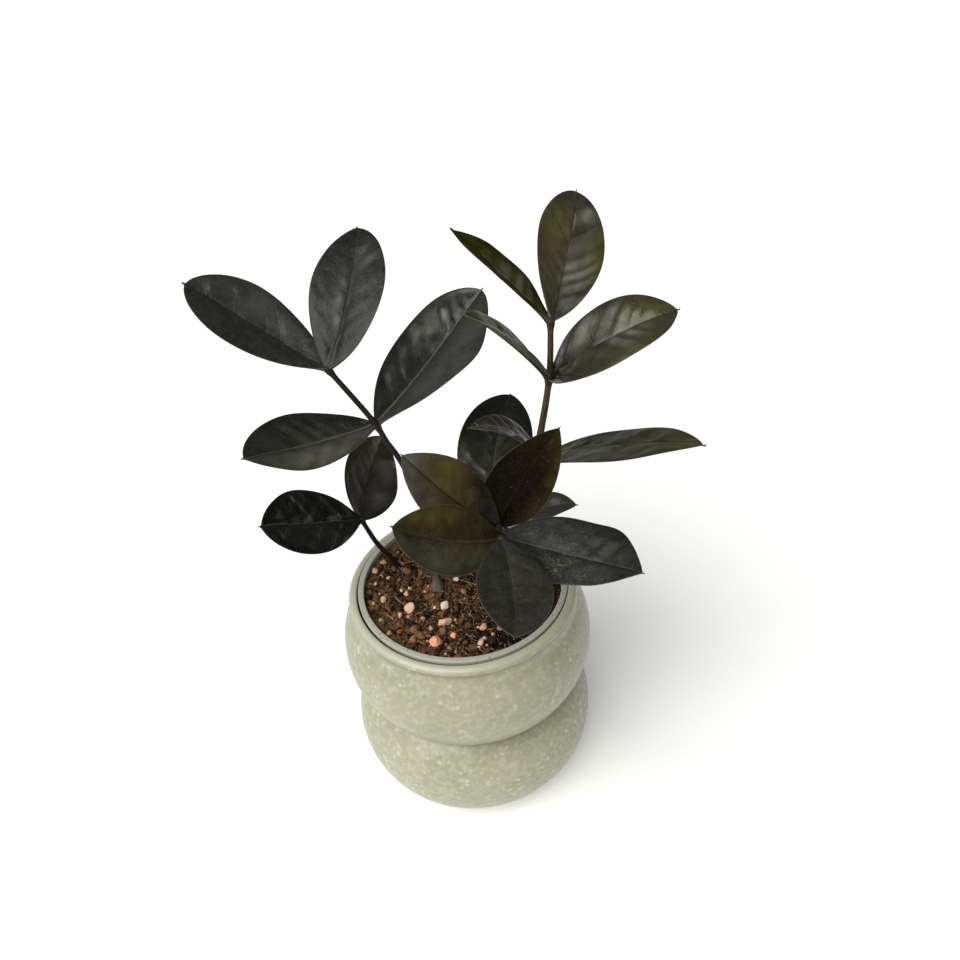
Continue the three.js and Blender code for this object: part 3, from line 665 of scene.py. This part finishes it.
def leaf_look(name, own):
    """Waxy near-black leaf: tints with painted highlights among them, veins, pale margin, and dust with
    painted glints, by values at its points.
    """
    look = Look(name)
    side, under, half = look.value("across"), look.value("under"), look.value("half")
    reach = look.math("ABSOLUTE", side)
    from_rib = look.times(reach, half)
    from_margin = look.times(look.minus(1.0, reach), half)

    def paler(colour, mask, amount, pale):
        """Draws a mask in the pale colour, or in near black if the amount is below 0."""
        return look.tint(colour, mask, abs(amount), pale if amount > 0 else NEAR_BLACK)

    darker, lighter = (tuple(amount * part for part in own["deep"]) for amount in (0.8, 1.42))
    colour = look.blend(look.span(look.noise(2.6, 4.0, 0.6), 0.38, 0.64), darker, lighter)
    turned = look.times(look.math("GREATER_THAN", side, 0.0), 0.5)
    wavering = look.plus(turned, look.span(look.noise(4.0, 2.0), 0.3, 0.7, 0.97, 1.03))
    phase = look.math("FRACT", look.plus(look.value("vein"), wavering))
    off = look.math("ABSOLUTE", look.minus(phase, 0.5))

    patchy = look.span(look.noise(7, 2.0), 0.32, 0.6, 0.45, 1.0)
    for kind, tint in TINTS.items():
        if own[kind]:
            share = look.times(look.value(kind), patchy)
            # The painted highlight shows only between the side veins.
            if kind == "painted_highlight":
                share = look.times(share, look.span(off, 0.08, 0.42, 1.1, 0.05))
            colour = look.blend(share, colour, tint)

    fading = look.span(reach, 0.7, 0.95, 1.0, 0.0)
    line = look.times(look.span(off, 0.455, 0.495), fading)
    net = look.span(look.cells(1.5, "DISTANCE_TO_EDGE", place=look.vector("flat")), 0.0, 0.09, 1.0, 0.0)
    colour = paler(colour, line, own["line"], (0.105, 0.103, 0.08))
    colour = look.tint(colour, net, 0.05, (0.105, 0.105, 0.09))
    narrow = look.span(look.value("along"), 0.1, 1.0, 0.42, 0.16)
    rib = look.span(look.math("DIVIDE", from_rib, narrow), 0.6, 1.3, 1.0, 0.0)
    colour = paler(colour, rib, own["rib"], (0.125, 0.122, 0.095))
    colour = look.tint(colour, under, 0.4, (0.06, 0.06, 0.045))
    margin = look.span(from_margin, 0.1, 0.3, 1.0, 0.0)
    colour = paler(colour, margin, own["margin"], (0.115, 0.11, 0.075))

    clouds = look.span(look.noise(6.0, 3.0), 0.38, 0.66)
    film = look.times(clouds, look.span(look.noise(1.0, 6.0, 0.72), 0.42, 0.66))
    motes = look.span(look.cells(2.9), 0.0, 0.085, 0.45, 0.0)
    if own["dusty"]:
        dusty = look.value("dusty")
        film = look.times(film, look.plus(look.times(dusty, 0.3), 0.04))
        # Specks of dust, with painted glints among them.
        sparkle = look.span(look.noise(0.42, 3.0, 0.7), 0.6, 0.68)
        motes = look.math("MAXIMUM", motes, look.times(sparkle, look.times(dusty, 0.4)))
    else:
        film = look.times(film, 0.025)
    colour = look.blend(film, colour, (0.2, 0.198, 0.16))
    colour = look.blend(motes, colour, (0.34, 0.34, 0.3))

    look.set(Base_Color=colour, Specular_IOR_Level=own["gloss"], Specular_Tint=own["shine"], IOR=1.45)
    sheen = look.span(look.noise(4.0, 4.0), 0.3, 0.7, own["rough"] - 0.05, own["rough"] + 0.06)
    dull = look.plus(look.times(film, 0.5), look.times(under, 0.16))
    look.set(Roughness=look.plus(sheen, dull))
    look.bump(look.minus(1.0, line), 0.03)
    look.bump(look.minus(1.0, net), 0.02)
    look.bump(look.noise(1.8, 4.0), 0.04)
    return look.material


# ---------------------------------------------------------------- cachepot

def make_cachepot():
    """The two round bulges, the lip and the foot as one turned outline, with the glaze's values."""
    c = CACHEPOT
    crease = (c.upper_middle - c.lower_middle) / 2

    def level(rise, half):
        return math.degrees(math.asin(rise / half))

    half, reach = c.bulge_half_height, c.bulge_reach
    inner_half, inner_reach = half - c.waist_thinning, reach - c.wall
    out = level(crease, half)
    inside = level(crease, inner_half)
    groove_start = level(c.groove_height - c.groove_below - c.upper_middle, half)
    inner_top = math.degrees(math.acos((c.lip_inner - c.bulge_centre) / inner_reach))
    inner_foot = level(c.floor - c.lower_middle, inner_half)
    edge = c.lip_edge
    roll = c.lip_outer - c.lip_inner - edge
    ring_inner = c.foot - c.foot_ring
    outside = [
        (0, c.foot_recess), (ring_inner - 1.4, c.foot_recess), (ring_inner, 0), (c.foot, 0),
        *arc(c.bulge_centre, c.lower_middle, reach, half, c.foot_angle, out, 60),
        *arc(c.bulge_centre, c.upper_middle, reach, half, -out, groove_start, 54)[1:],
        (c.groove_radius, c.groove_height),
        *arc(c.lip_outer - roll, c.lip_height - c.lip_bead, roll, c.lip_bead, 0, 90, 12),
    ]
    within = [
        *arc(c.lip_inner + edge, c.lip_height - edge, edge, edge, 90, 180, 6)[1:],
        *arc(c.bulge_centre, c.upper_middle, inner_reach, inner_half, inner_top, -inside, 40),
        *arc(c.bulge_centre, c.lower_middle, inner_reach, inner_half, inside, inner_foot, 36)[1:],
        (0, c.floor),
    ]
    outline = rounded(spaced(outside + within, 0.6), 4)
    points, faces, place = lathe(outline, c.sectors)
    radius, height = outline[place].T
    leaning = (1 + np.sin(np.arctan2(points[:, 1], points[:, 0]) + c.lean_turn)) / 2
    leaning = np.clip(c.lean_spread * leaning, 0, 1) * ease(height, c.lip_height - 6, c.lip_height - 1)
    points[:, :2] *= 1 - (c.lip_lean * leaning / c.lip_inner)[:, None]
    at_edge = leaning * (radius < c.lip_inner + edge) * (height > c.lip_height - edge)
    points[:, 2] = mix(points[:, 2], c.lip_height, c.lean_drop * at_edge)
    waist = (c.upper_middle + c.lower_middle) / 2
    on_outside = radius > c.foot
    above = height - waist
    # Pooled olive glaze with painted shade: a dark line at the waist's crease, a band above it, and a
    # fainter band in the groove under the lip.
    pool = 0.9 * bell(above / c.pool_line) + 0.8 * bell(above / c.pool_run) * ease(above, -0.5, 0.5)
    pool = np.maximum(pool, 0.4 * bell((height - c.groove_height) / c.groove_pool)) * on_outside
    # The top of the lip: thin glaze, and a painted highlight.
    thin = ease(height, c.lip_height - 2.0, c.lip_height - 0.6)
    recess = (height < 2) * (radius < ring_inner)
    bare = ease(height, 1.1, 0.5) * ease(radius, ring_inner - 2.5, ring_inner - 1) + recess
    new_piece(
        "cachepot_glazed", (points, faces), "cachepot", "glazed_stoneware", glaze_look(),
        pool=np.clip(pool, 0, 1), thin=thin, bare=np.clip(bare, 0, 1), lower=ease(height, 70, 35),
    )


# ---------------------------------------------------------------- nursery pot

def nursery_radius(height):
    """Outside radius of the tapered wall at a height."""
    n = NURSERY
    top = n.rim_height - n.rim_drop
    return mix(n.bottom_radius, n.rim_inner + n.wall, (height - n.base) / (top - n.base))


def make_nursery_pot():
    """The liner's turned outline with drainage holes cut through its floor."""
    n = NURSERY
    top = n.rim_height - n.rim_drop
    floor = n.base + n.bottom_thickness
    r, rim = n.rim_round, n.rim_height
    outline = [
        (0, n.base), (n.bottom_radius - n.bottom_bevel, n.base),
        (nursery_radius(n.base + n.bottom_bevel), n.base + n.bottom_bevel),
        (nursery_radius(top), top),
        *arc(n.rim_outer - r, top + r, r, r, -90, 0, 4), *arc(n.rim_outer - r, rim - r, r, r, 0, 90, 5),
        *arc(n.rim_inner + r, rim - r, r, r, 90, 180, 5), (n.rim_inner, top),
        (nursery_radius(floor) - n.wall, floor), (0, floor),
    ]
    outline = spaced(outline, 3.0)
    points, faces, place = lathe(outline, n.sectors)
    pot = new_piece(
        "nursery_pot_moulded", (points, faces), "nursery_pot", "nursery_plastic", plastic_look(),
        dusty=ease(outline[place][:, 1], 85, 104),
    )
    cutters = []
    for k in range(n.drain_count):
        angle = 2 * math.pi * k / n.drain_count
        x, y = n.drain_ring * math.cos(angle), n.drain_ring * math.sin(angle)
        line = np.array([(x, y, n.base - 4), (x, y, floor + 4)])
        cutters.append(tube(line, n.drain_radius, 32))
    (points, faces), _ = joined(cutters)
    cutter = placed("drain_cutters", new_mesh("drain_cutters", points, faces))
    cut = pot.modifiers.new("drain", "BOOLEAN")
    cut.operation, cut.solver, cut.object = "DIFFERENCE", "EXACT", cutter
    holed = bpy.data.meshes.new_from_object(pot.evaluated_get(bpy.context.evaluated_depsgraph_get()))
    pot.modifiers.clear()
    pot.data = holed
    bpy.data.objects.remove(cutter)


# ---------------------------------------------------------------- potting mix

def soil_reach(height=SOIL.height):
    """Radius of the soil where it meets the tapered wall at a height."""
    return nursery_radius(height) - NURSERY.wall - SOIL.gap


def hollow(x, y):
    """From 1 in the middle of the darker hollow at the front to 0 around it."""
    away = np.hypot(x - SOIL.hollow[0], y - SOIL.hollow[1])
    return bell(away / SOIL.hollow_reach)


def soil_height(x, y):
    """The CAD soil's bank against the wall and its soft lumps, with finer clods on top."""
    s = SOIL
    edge, distance = soil_reach(), np.hypot(x, y)
    climb = ease(distance, s.bank_from, edge)
    behind = np.cos(np.arctan2(y, x) - math.radians(s.bank_towards))
    long = np.sin(x / 7.1 + 0.6) * np.cos(y / 6.3 - 0.4)
    short = np.sin(x / 3.1 - y / 3.9 + 1.1) * np.cos(y / 2.9 + x / 5.2)
    fade = np.clip((edge - distance) / s.level_edge, 0, 1)
    clods = sum(depth * soft_noise(x, y, size, 5 + k) for k, (size, depth) in enumerate(
        ((5.2, 0.7), (2.6, 0.65), (1.4, 0.45), (0.9, 0.25))))
    banked = s.height + climb * (s.bank_rise + s.bank_extra * behind)
    banked = banked - s.hollow_depth * hollow(x, y) + s.heap * climb**3 * np.clip(-x / edge, 0, 1)
    return banked + s.relief * (0.6 * long + 0.4 * short) * fade + clods * (0.35 + 0.65 * fade)


def make_soil_bed(material):
    reach, top = soil_reach(), SOIL.height
    outline = [
        (0, SOIL.base), (soil_reach(SOIL.base), SOIL.base), (soil_reach(top - 2.2), top - 2.2),
        (reach, top), (0, top),
    ]
    outline = np.vstack([spaced(outline[:3], 6.0), spaced(outline[3:], SOIL.grain)])
    points, faces, _ = lathe(outline, 380)
    upper = points[:, 2] > top - 0.01
    x, y = points[upper, :2].T
    height = soil_height(x, y)
    widened = mix(1, soil_reach(height) / reach, (np.hypot(x, y) / reach) ** 4)
    points[upper] = np.stack([x * widened, y * widened, height], 1)
    x, y = points[:, :2].T
    # Paler towards the left and darker towards the right.
    tone = mix(0.38, 0.1, ease(x, -24, 20)) + 0.3 * soft_noise(x, y, 2.2, 31)
    new_piece(
        "potting_mix_bed", (points, faces), "soil", "potting_mix", material,
        tone=tone, damp=SOIL.damp * hollow(x, y),
    )


def strewn(name, shapes, material, smooth=True, **values):
    """One piece of the potting mix from many small shapes, with each shape's own values."""
    shape, owner = joined(shapes)
    values = {key: np.array(value)[owner] for key, value in values.items()}
    new_piece(name, shape, "soil", "potting_mix", material, smooth, **values)


def spots(random, count, margin):
    """Random points spread evenly over the soil, at least margin from the wall."""
    angle = random.uniform(0, 2 * math.pi, count)
    distance = (soil_reach() - margin) * np.sqrt(random.uniform(0, 1, count))
    return distance * np.cos(angle), distance * np.sin(angle)


def turned(points, random):
    axis = unit(random.normal(size=3))
    spin = np.array(Matrix.Rotation(random.uniform(0, 2 * math.pi), 3, Vector(axis)))
    return points @ spin.T


def crumb(sphere, random, radius):
    """An uneven lump, a little longer than it is wide."""
    points, faces = sphere
    size = np.ones(len(points))
    for waves in (1.5, 2.6, 4.3, 7.0):
        direction, shift = unit(random.normal(size=3)), random.uniform(0, 6)
        size += 0.36 / waves**0.6 * np.sin(points @ direction * waves + shift)
    stretch = random.uniform(0.75, 1.5), random.uniform(0.7, 1.1), random.uniform(0.5, 0.9)
    return turned(points * size[:, None] * stretch, random) * radius, faces


def chip(sphere, random, radius):
    """A broken mineral granule: a ball cut by flat planes."""
    points, faces = sphere
    reach = np.full(len(points), 1.08)
    for _ in range(11):
        direction = unit(random.normal(size=3))
        facing = points @ direction
        limit = random.uniform(0.6, 0.92)
        reach = np.minimum(reach, np.where(facing > 0.2, limit / np.maximum(facing, 0.2), 9))
    reach *= 1 + 0.05 * np.sin(points @ random.normal(size=3) * 6 + random.uniform(0, 6))
    stretch = random.uniform(0.9, 1.25), random.uniform(0.85, 1.05), random.uniform(0.75, 0.95)
    return turned(points * reach[:, None] * stretch, random) * radius, faces


def settle(shape, x, y, sunk):
    """Lays a shape on the soil with a share of its lower half below the surface."""
    points, faces = shape
    low = points[:, 2].min()
    return points + (x, y, soil_height(x, y) - low * (1 - sunk) + low * sunk * 0.5), faces


def make_crumbs(peat, pale):
    """Coarse clods, the finer crumbs that lie between them, and pale bits of fibre and bark on top."""
    random = np.random.default_rng(8)
    kinds = (
        ("peat_clods", peat, 2, 420, (0.8, 1.9), 0.6),
        ("peat_crumbs", peat, 1, 2900, (0.3, 0.85), 0.35),
        ("pale_bits", pale, 1, 760, (0.2, 0.65), 0.15),
    )
    for name, material, divisions, count, radii, sunk in kinds:
        sphere = ball(divisions)
        shapes, tones, damps = [], [], []
        for x, y in zip(*spots(random, count, 0.9)):
            radius = mix(*radii, random.uniform() ** 2)
            shapes.append(settle(crumb(sphere, random, radius), x, y, sunk))
            # Paler towards the left and darker towards the right.
            tones.append(random.beta(0.75, 1.6) * mix(1.0, 0.6, ease(x, -10, 20)))
            damps.append(SOIL.damp * hollow(x, y))
        strewn(name, shapes, material, tone=tones, damp=damps)


def make_strands(material):
    """Coir fibres, and a few long pale rootlets, lying loosely on the soil."""
    random = np.random.default_rng(21)
    shapes, tones = [], []
    fibres = (620, (2, 7), (0.09, 0.2), (0.1, 0.8))
    rootlets = (10, (8, 20), (0.12, 0.2), (0.7, 1.0))
    for count, lengths, radii, tone in (fibres, rootlets):
        for x, y in zip(*spots(random, count, 3.0)):
            length, heading, bend = random.uniform(*lengths), random.uniform(0, 6.3), random.normal(0, 0.09)
            steps = max(8, round(length / 0.9))
            headings = heading + np.cumsum(random.normal(bend, 0.13, steps))
            line = np.stack([x + np.cumsum(np.cos(headings)), y + np.cumsum(np.sin(headings))], 1)
            line = (line - line[0]) * length / steps + (x, y)
            line = line[np.hypot(*line.T) < soil_reach() - 0.6]
            if len(line) < 5:
                continue
            arch = random.uniform(0.1, 1.3) * np.sin(np.linspace(0, math.pi, len(line)))
            height = soil_height(line[:, 0], line[:, 1]) * 0.3 + soil_height(x, y) * 0.7
            points = np.column_stack([line, height + 0.25 + arch])
            taper = np.interp(np.linspace(0, 1, len(line)), (0, 0.3, 1), (0.7, 1, 0.4))
            shapes.append(tube(points, random.uniform(*radii) * taper, 6))
            tones.append(random.uniform(*tone))
    strewn("coir_and_rootlets", shapes, material, tone=tones)


def make_granules():
    """Perlite and fired clay: those seen from the front where they lie, and others strewn over the rest."""
    random = np.random.default_rng(11)
    sphere = ball(3)
    pieces = (
        ("perlite_white", ("white", "cream"), "perlite",
         (0.8, 0.65, 0.52), (0.66, 0.4, 0.23), (0.26, 0.14, 0.07), 0.12),
        ("clay_tan", ("pink", "tan", "grey"), "tan_clay",
         (0.7, 0.39, 0.25), (0.36, 0.24, 0.15), (0.17, 0.09, 0.05), 0.12),
        ("clay_orange", ("orange", "red", "brown"), "orange_clay",
         (0.83, 0.4, 0.22), (0.35, 0.16, 0.08), (0.3, 0.12, 0.05), 0.1),
    )
    tone = dict(white=0.1, cream=0.7, pink=0.1, tan=0.5, grey=1.0, orange=0.1, red=0.4, brown=1.0)
    others = (
        ("white", 26, (0.5, 1.5)), ("cream", 30, (0.5, 1.6)), ("tan", 24, (0.5, 1.6)),
        ("grey", 16, (0.5, 1.3)), ("orange", 9, (0.8, 2.0)), ("pink", 8, (0.6, 1.4)),
        ("cream", 70, (0.3, 0.65)), ("tan", 60, (0.3, 0.7)),
    )
    granules = list(SEEN_GRANULES)
    for kind, count, radii in others:
        for x, y in zip(*spots(random, count, 2.0)):
            radius = mix(*radii, random.uniform() ** 2)
            if radii[1] < 0.8 or x > 18 or y > 18 or x + y > 18:
                granules.append((x, y, radius, kind))
    for name, kinds, *looks in pieces:
        own = [granule for granule in granules if granule[3] in kinds]
        shapes = [settle(chip(sphere, random, radius), x, y, 0.3) for x, y, radius, _ in own]
        tones = [tone[kind] for *_, kind in own]
        strewn(name, shapes, granule_look(*looks), smooth=False, tone=tones)


def make_soil():
    peat = earth_look("peat", (0.0016, 0.0008, 0.0004), (0.25, 0.12, 0.05), 1.2)
    make_soil_bed(peat)
    strands = strand_look()
    make_crumbs(peat, strands)
    make_strands(strands)
    make_granules()


# ---------------------------------------------------------------- fronds

def make_stem(name, frond, material):
    """A tapered stem along the frond's route, swollen at its nodes and its foot, with a bud on top."""
    foot = np.array([*frond["foot"], SOIL.height])
    route = [np.array(p, float) for p in frond["route"]]
    lean = unit(route[0] - foot)
    points, share = smooth_route([foot - lean * STEM.sunk, foot, *route], STEM.step)
    thick, thin = frond["radius"]
    radii = mix(thick, thin, share ** frond.get("taper", STEM.taper))
    node = np.zeros(len(points))
    for k in sorted({row[0] for row in frond["leaflets"]}):
        away = np.linalg.norm(points - route[k], axis=1)
        node = np.maximum(node, bell(away / STEM.node_length))
    radii = radii + STEM.node_swell * node
    travelled = share * np.linalg.norm(np.diff(points, axis=0), axis=1).sum()
    above = travelled - STEM.sunk
    radii = radii * (1 + frond.get("flare", STEM.flare) * bell(above / STEM.flare_length))
    bud = np.arange(1, 7) / 6
    tip = unit(points[-1] - points[-2])
    points = np.vstack([points, points[-1] + np.outer(bud * STEM.bud, tip)])
    radii = np.concatenate([radii, radii[-1] * np.sqrt(np.clip(1 - bud**2, 0.01, 1))])
    extra = len(bud)
    travelled = np.concatenate([travelled, travelled[-1] + bud * STEM.bud])
    node = np.concatenate([node, np.full(extra, node[-1])])
    above = np.concatenate([above, np.full(extra, above[-1])])
    pale = 1 - ease(above, STEM.bark_from, STEM.bark_to)

    sides = STEM.sides
    shape, faces = tube(points, radii, sides)
    angles = np.linspace(0, 2 * math.pi, sides, endpoint=False)
    uneven = soft_noise(travelled[:, None], angles[None, :] * 3, 2.4, frond["seed"])
    ridges = 1 + 0.035 * np.sin(5 * angles)[None, :] + 0.02 * uneven
    centre = np.repeat(points, sides, 0)
    shape = centre + (shape - centre) * ridges.reshape(-1, 1)
    flat = np.stack([
        np.tile(np.cos(angles), len(points)) * 3, np.tile(np.sin(angles), len(points)) * 3,
        np.repeat(travelled, sides) * 0.22,
    ], 1)
    new_piece(
        f"{name}_stem", (shape, faces), name, frond["slot"], material,
        flat=flat, knot=np.repeat(node, sides), pale=np.repeat(pale, sides),
    )


def outline_at(share, belly):
    """Half the blade's width at a share of its length, as a share of half its full width."""
    low = BLADE.roundness * belly
    high = BLADE.roundness - low
    share = np.clip(share, 0, 1)
    return share**low * (1 - share) ** high / (belly**low * (1 - belly) ** high)


def leaflet_columns():
    """Places across the blade from one margin to the other, close together at the rib and the margins."""
    half = (1 - np.cos(np.pi * np.arange(1, BLADE.columns + 1) / BLADE.columns)) / 2
    return np.concatenate([-half[::-1], [0], half])


def tinted(spots, along, across):
    """How strong a tint is at places on a blade."""
    strength = 0.0
    for at, aside, long, wide, amount in spots:
        away = ((along - at) / long) ** 2 + ((across - aside) / wide) ** 2
        strength = np.maximum(strength, amount * np.exp(-1.5 * away))
    return strength


def make_leaflet(name, node, slot, base, row, own, seed, material):
    """One blade: its rib's curve, its outline, the lay and relief of its surface, and its values."""
    _, heading, lift, roll, length, width, rise, bow, belly = row
    random = np.random.default_rng(seed)
    turn, climb, twist, fold = np.radians([heading, lift, roll, BLADE.fold])
    ahead = np.array([math.cos(climb) * math.cos(turn), math.cos(climb) * math.sin(turn), math.sin(climb)])
    level = np.array([-math.sin(turn), math.cos(turn), 0])
    side = level * math.cos(twist) + np.cross(ahead, level) * math.sin(twist)
    up = np.cross(ahead, side)

    stations = BLADE.stations
    share = (1 - np.cos(np.pi * np.arange(stations) / (stations - 1))) / 2 * (1 + BLADE.cusp / length)
    swell, slope = 4 * share * (1 - share), 4 - 8 * share
    rib = base + np.outer(share * length, ahead) + np.outer(swell * rise, up) + np.outer(swell * bow, side)
    along = ahead * length + np.outer(slope * rise, up) + np.outer(slope * bow, side)
    along /= np.linalg.norm(along, axis=1)[:, None]
    outward = np.cross(up, along)
    outward /= np.linalg.norm(outward, axis=1)[:, None]
    face = np.cross(along, outward)

    travelled = share * length
    blade_half = width / 2 * outline_at(share, belly)
    root = BLADE.petiolule * bell(travelled / BLADE.petiolule_length)
    spike = 0.1 + BLADE.cusp_width * ease(length - travelled, -BLADE.cusp, 0.8) * (share > 0.5)
    half = np.sqrt(blade_half**2 + np.maximum(root, spike) ** 2)

    left_wave, right_wave, tilt = random.uniform(0, 2 * math.pi, 3)
    swelling = random.uniform(0.25, 1.6, 64)
    u = leaflet_columns()[None, :]
    t, d, h = share[:, None], travelled[:, None], half[:, None]
    reach = np.abs(u)
    for at, aside, long, wider in own["edge"]:
        h = h + wider * bell((t - at) / long) * ease(t, 1.0, 0.9) * (u * aside > 0)
    wave = np.where(u < 0, np.sin(9.5 * t + left_wave), np.sin(8.3 * t + right_wave))
    lay = reach * (1.3 - 0.3 * reach)
    raised = h * math.sin(fold) * mix(lay, 1, own["flat"])
    raised = raised + BLADE.flutter * h * wave * reach**3 * ease(t, 0.02, 0.2)
    sway = BLADE.sway * np.sin(4.4 * t + tilt) * ease(t, 0.1, 0.4)
    raised = raised - BLADE.droop * ease(t, 0.8, 1.04) + sway * u

    slanted = t - BLADE.vein_slant * blade_half[:, None] / length * reach**1.25
    uneven = np.where(u < 0, np.sin(7 * slanted + right_wave), np.sin(5 * slanted + tilt))
    vein = BLADE.veins_per_mm * length * slanted + 0.16 * np.sin(11 * slanted + left_wave) + 0.3 * uneven
    count = vein + 0.5 * (u > 0)
    off = np.abs(np.mod(count, 1) - 0.5) * 2
    pillow = (1 - off**2.6) * np.sin(np.pi * np.clip(reach, 0, 1) ** 0.7) ** 0.8
    pillow = pillow * swelling[np.floor(count).astype(int) % 32 + 32 * (u > 0)]
    pillow = pillow * ease(slanted, 0.0, 0.12) * (1 - ease(t, 0.86, 1.0)) * ease(h, 1.5, 6)
    from_rib = u * h
    broad, fine = (soft_noise(from_rib, d, size, seed) for size in BLADE.dent_sizes)
    dents = (broad + 0.4 * fine) * ease(h * (1 - reach), 0, 4) * ease(np.abs(from_rib), 0.3, 3)
    depth = BLADE.quilting * np.where(u < 0, *own["quilt"])
    raised = raised + depth * pillow * (1 + 0.6 * dents) + BLADE.dents * dents

    crown = BLADE.crown * np.clip(1 - t, 0, 1) ** 1.6 * bell(from_rib / BLADE.crown_width)
    crown = crown - BLADE.groove * bell(from_rib / BLADE.groove_width) * ease(t, 0.0, 0.3)
    keel = BLADE.keel * np.clip(1.03 - 0.8 * t, 0.1, 1) * bell(from_rib / BLADE.keel_width)
    edge = np.sqrt(np.clip(1 - reach**10, 0, 1))
    stalk = BLADE.stalk * bell(d / BLADE.stalk_length)
    body = (BLADE.thickness / 2 * (1 - 0.35 * ease(t, 0.5, 1.0)) + stalk) * edge

    middle = rib[:, None] + outward[:, None] * (u * h * math.cos(fold))[..., None]
    top = middle + face[:, None] * (raised + body + crown * edge)[..., None]
    under = middle + face[:, None] * (raised - body - keel * edge)[..., None]
    loops = np.concatenate([top, under[:, -2:0:-1]], 1)
    rows, sides = loops.shape[:2]

    def around(values, flip=False):
        values = np.broadcast_to(values, (rows, u.shape[1]))
        lower = values[:, -2:0:-1]
        return np.concatenate([values, lower if not flip else 1 - lower], 1).ravel()

    tints = {kind: around(tinted(own[kind], t, u)) for kind in (*TINTS, "dusty") if own[kind]}
    flat = np.stack([around(from_rib), around(d), np.full(rows * sides, seed * 7.0)], 1)
    new_piece(
        name, (loops.reshape(-1, 3), skin(rows, sides)), node, slot, material,
        flat=flat, across=around(u), half=around(h), along=around(t), vein=around(vein),
        under=around(np.zeros((1, 1)), True), **tints,
    )


def make_fronds():
    """Each frond's stem, and its leaflets with a wax of their own."""
    for name, frond in FRONDS.items():
        make_stem(name, frond, stem_look(f"{name}_stem_wax", *frond["wax"]))
        for k, (row, looks) in enumerate(zip(frond["leaflets"], frond["looks"]), 1):
            own, leaflet = {**LEAF, **looks}, f"{name}_leaflet_{k}"
            base = np.array(frond["route"][row[0]], float)
            material = leaf_look(f"{leaflet}_wax", own)
            make_leaflet(leaflet, name, frond["slot"], base, row, own, frond["seed"] + k, material)


# ---------------------------------------------------------------- stage, light and camera

def make_stage():
    """A wide pale floor under the pot."""
    far, low = FLOOR.reach, -FLOOR.drop
    corners = [(-far, -far, low), (far, -far, low), (far, far, low), (-far, far, low)]
    floor = placed("floor", new_mesh("floor", corners, [[0, 1, 2, 3]]))
    look = Look("floor_paper")
    look.set(Base_Color=(0.88, 0.88, 0.87), Roughness=0.9, Specular_IOR_Level=0.1)
    look.set(Emission_Color=(1.0, 1.0, 0.99), Emission_Strength=0.16)
    floor.data.materials.append(look.material)


def soft_sun(name, around, above, spread, strength, colour):
    """A wide far light. Around is 0 in front of the pot and 90 to its right, in degrees."""
    lamp = bpy.data.lights.new(name, "SUN")
    lamp.energy, lamp.angle, lamp.color = strength, math.radians(spread), colour
    turn, climb = math.radians(around), math.radians(above)
    towards = Vector((math.cos(climb) * math.sin(turn), -math.cos(climb) * math.cos(turn), math.sin(climb)))
    placed(name, lamp).rotation_euler = towards.to_track_quat("Z", "Y").to_euler()


def make_lights():
    world = bpy.data.worlds.new("studio")
    world.use_nodes = True
    glow = world.node_tree.nodes["Background"].inputs
    glow["Color"].default_value = (1.0, 0.995, 0.98, 1)
    glow["Strength"].default_value = 0.2
    scene.world = world
    soft_sun("key", -43, 49, 56, 3.6, (1.0, 0.992, 0.972))
    soft_sun("side", -105, 50, 20, 0.2, (1.0, 0.995, 0.98))
    soft_sun("rim", 82, 54, 22, 0.1, (1.0, 1.0, 0.99))


def make_camera():
    """The photograph's view: 38 degrees down, and the horizon turned a little."""
    down, roll = math.radians(CAMERA.down), math.radians(CAMERA.roll)
    ahead = Vector((0, math.cos(down), -math.sin(down)))
    right = Vector((1, 0, 0))
    above = right.cross(ahead)
    across = right * math.cos(roll) + above * math.sin(roll)
    upward = above * math.cos(roll) - right * math.sin(roll)
    lens = bpy.data.cameras.new("camera")
    lens.lens, lens.sensor_width = CAMERA.focal, CAMERA.sensor
    lens.clip_start, lens.clip_end = 0.01, 60
    camera = placed("camera", lens)
    turn = Matrix((across, upward, -ahead)).transposed().to_4x4()
    camera.matrix_world = Matrix.Translation([MM * part for part in CAMERA.place]) @ turn
    scene.camera = camera


make_camera()
make_stage()
make_lights()
make_cachepot()
make_nursery_pot()
make_soil()
make_fronds()
scene.view_settings.view_transform = "Standard"
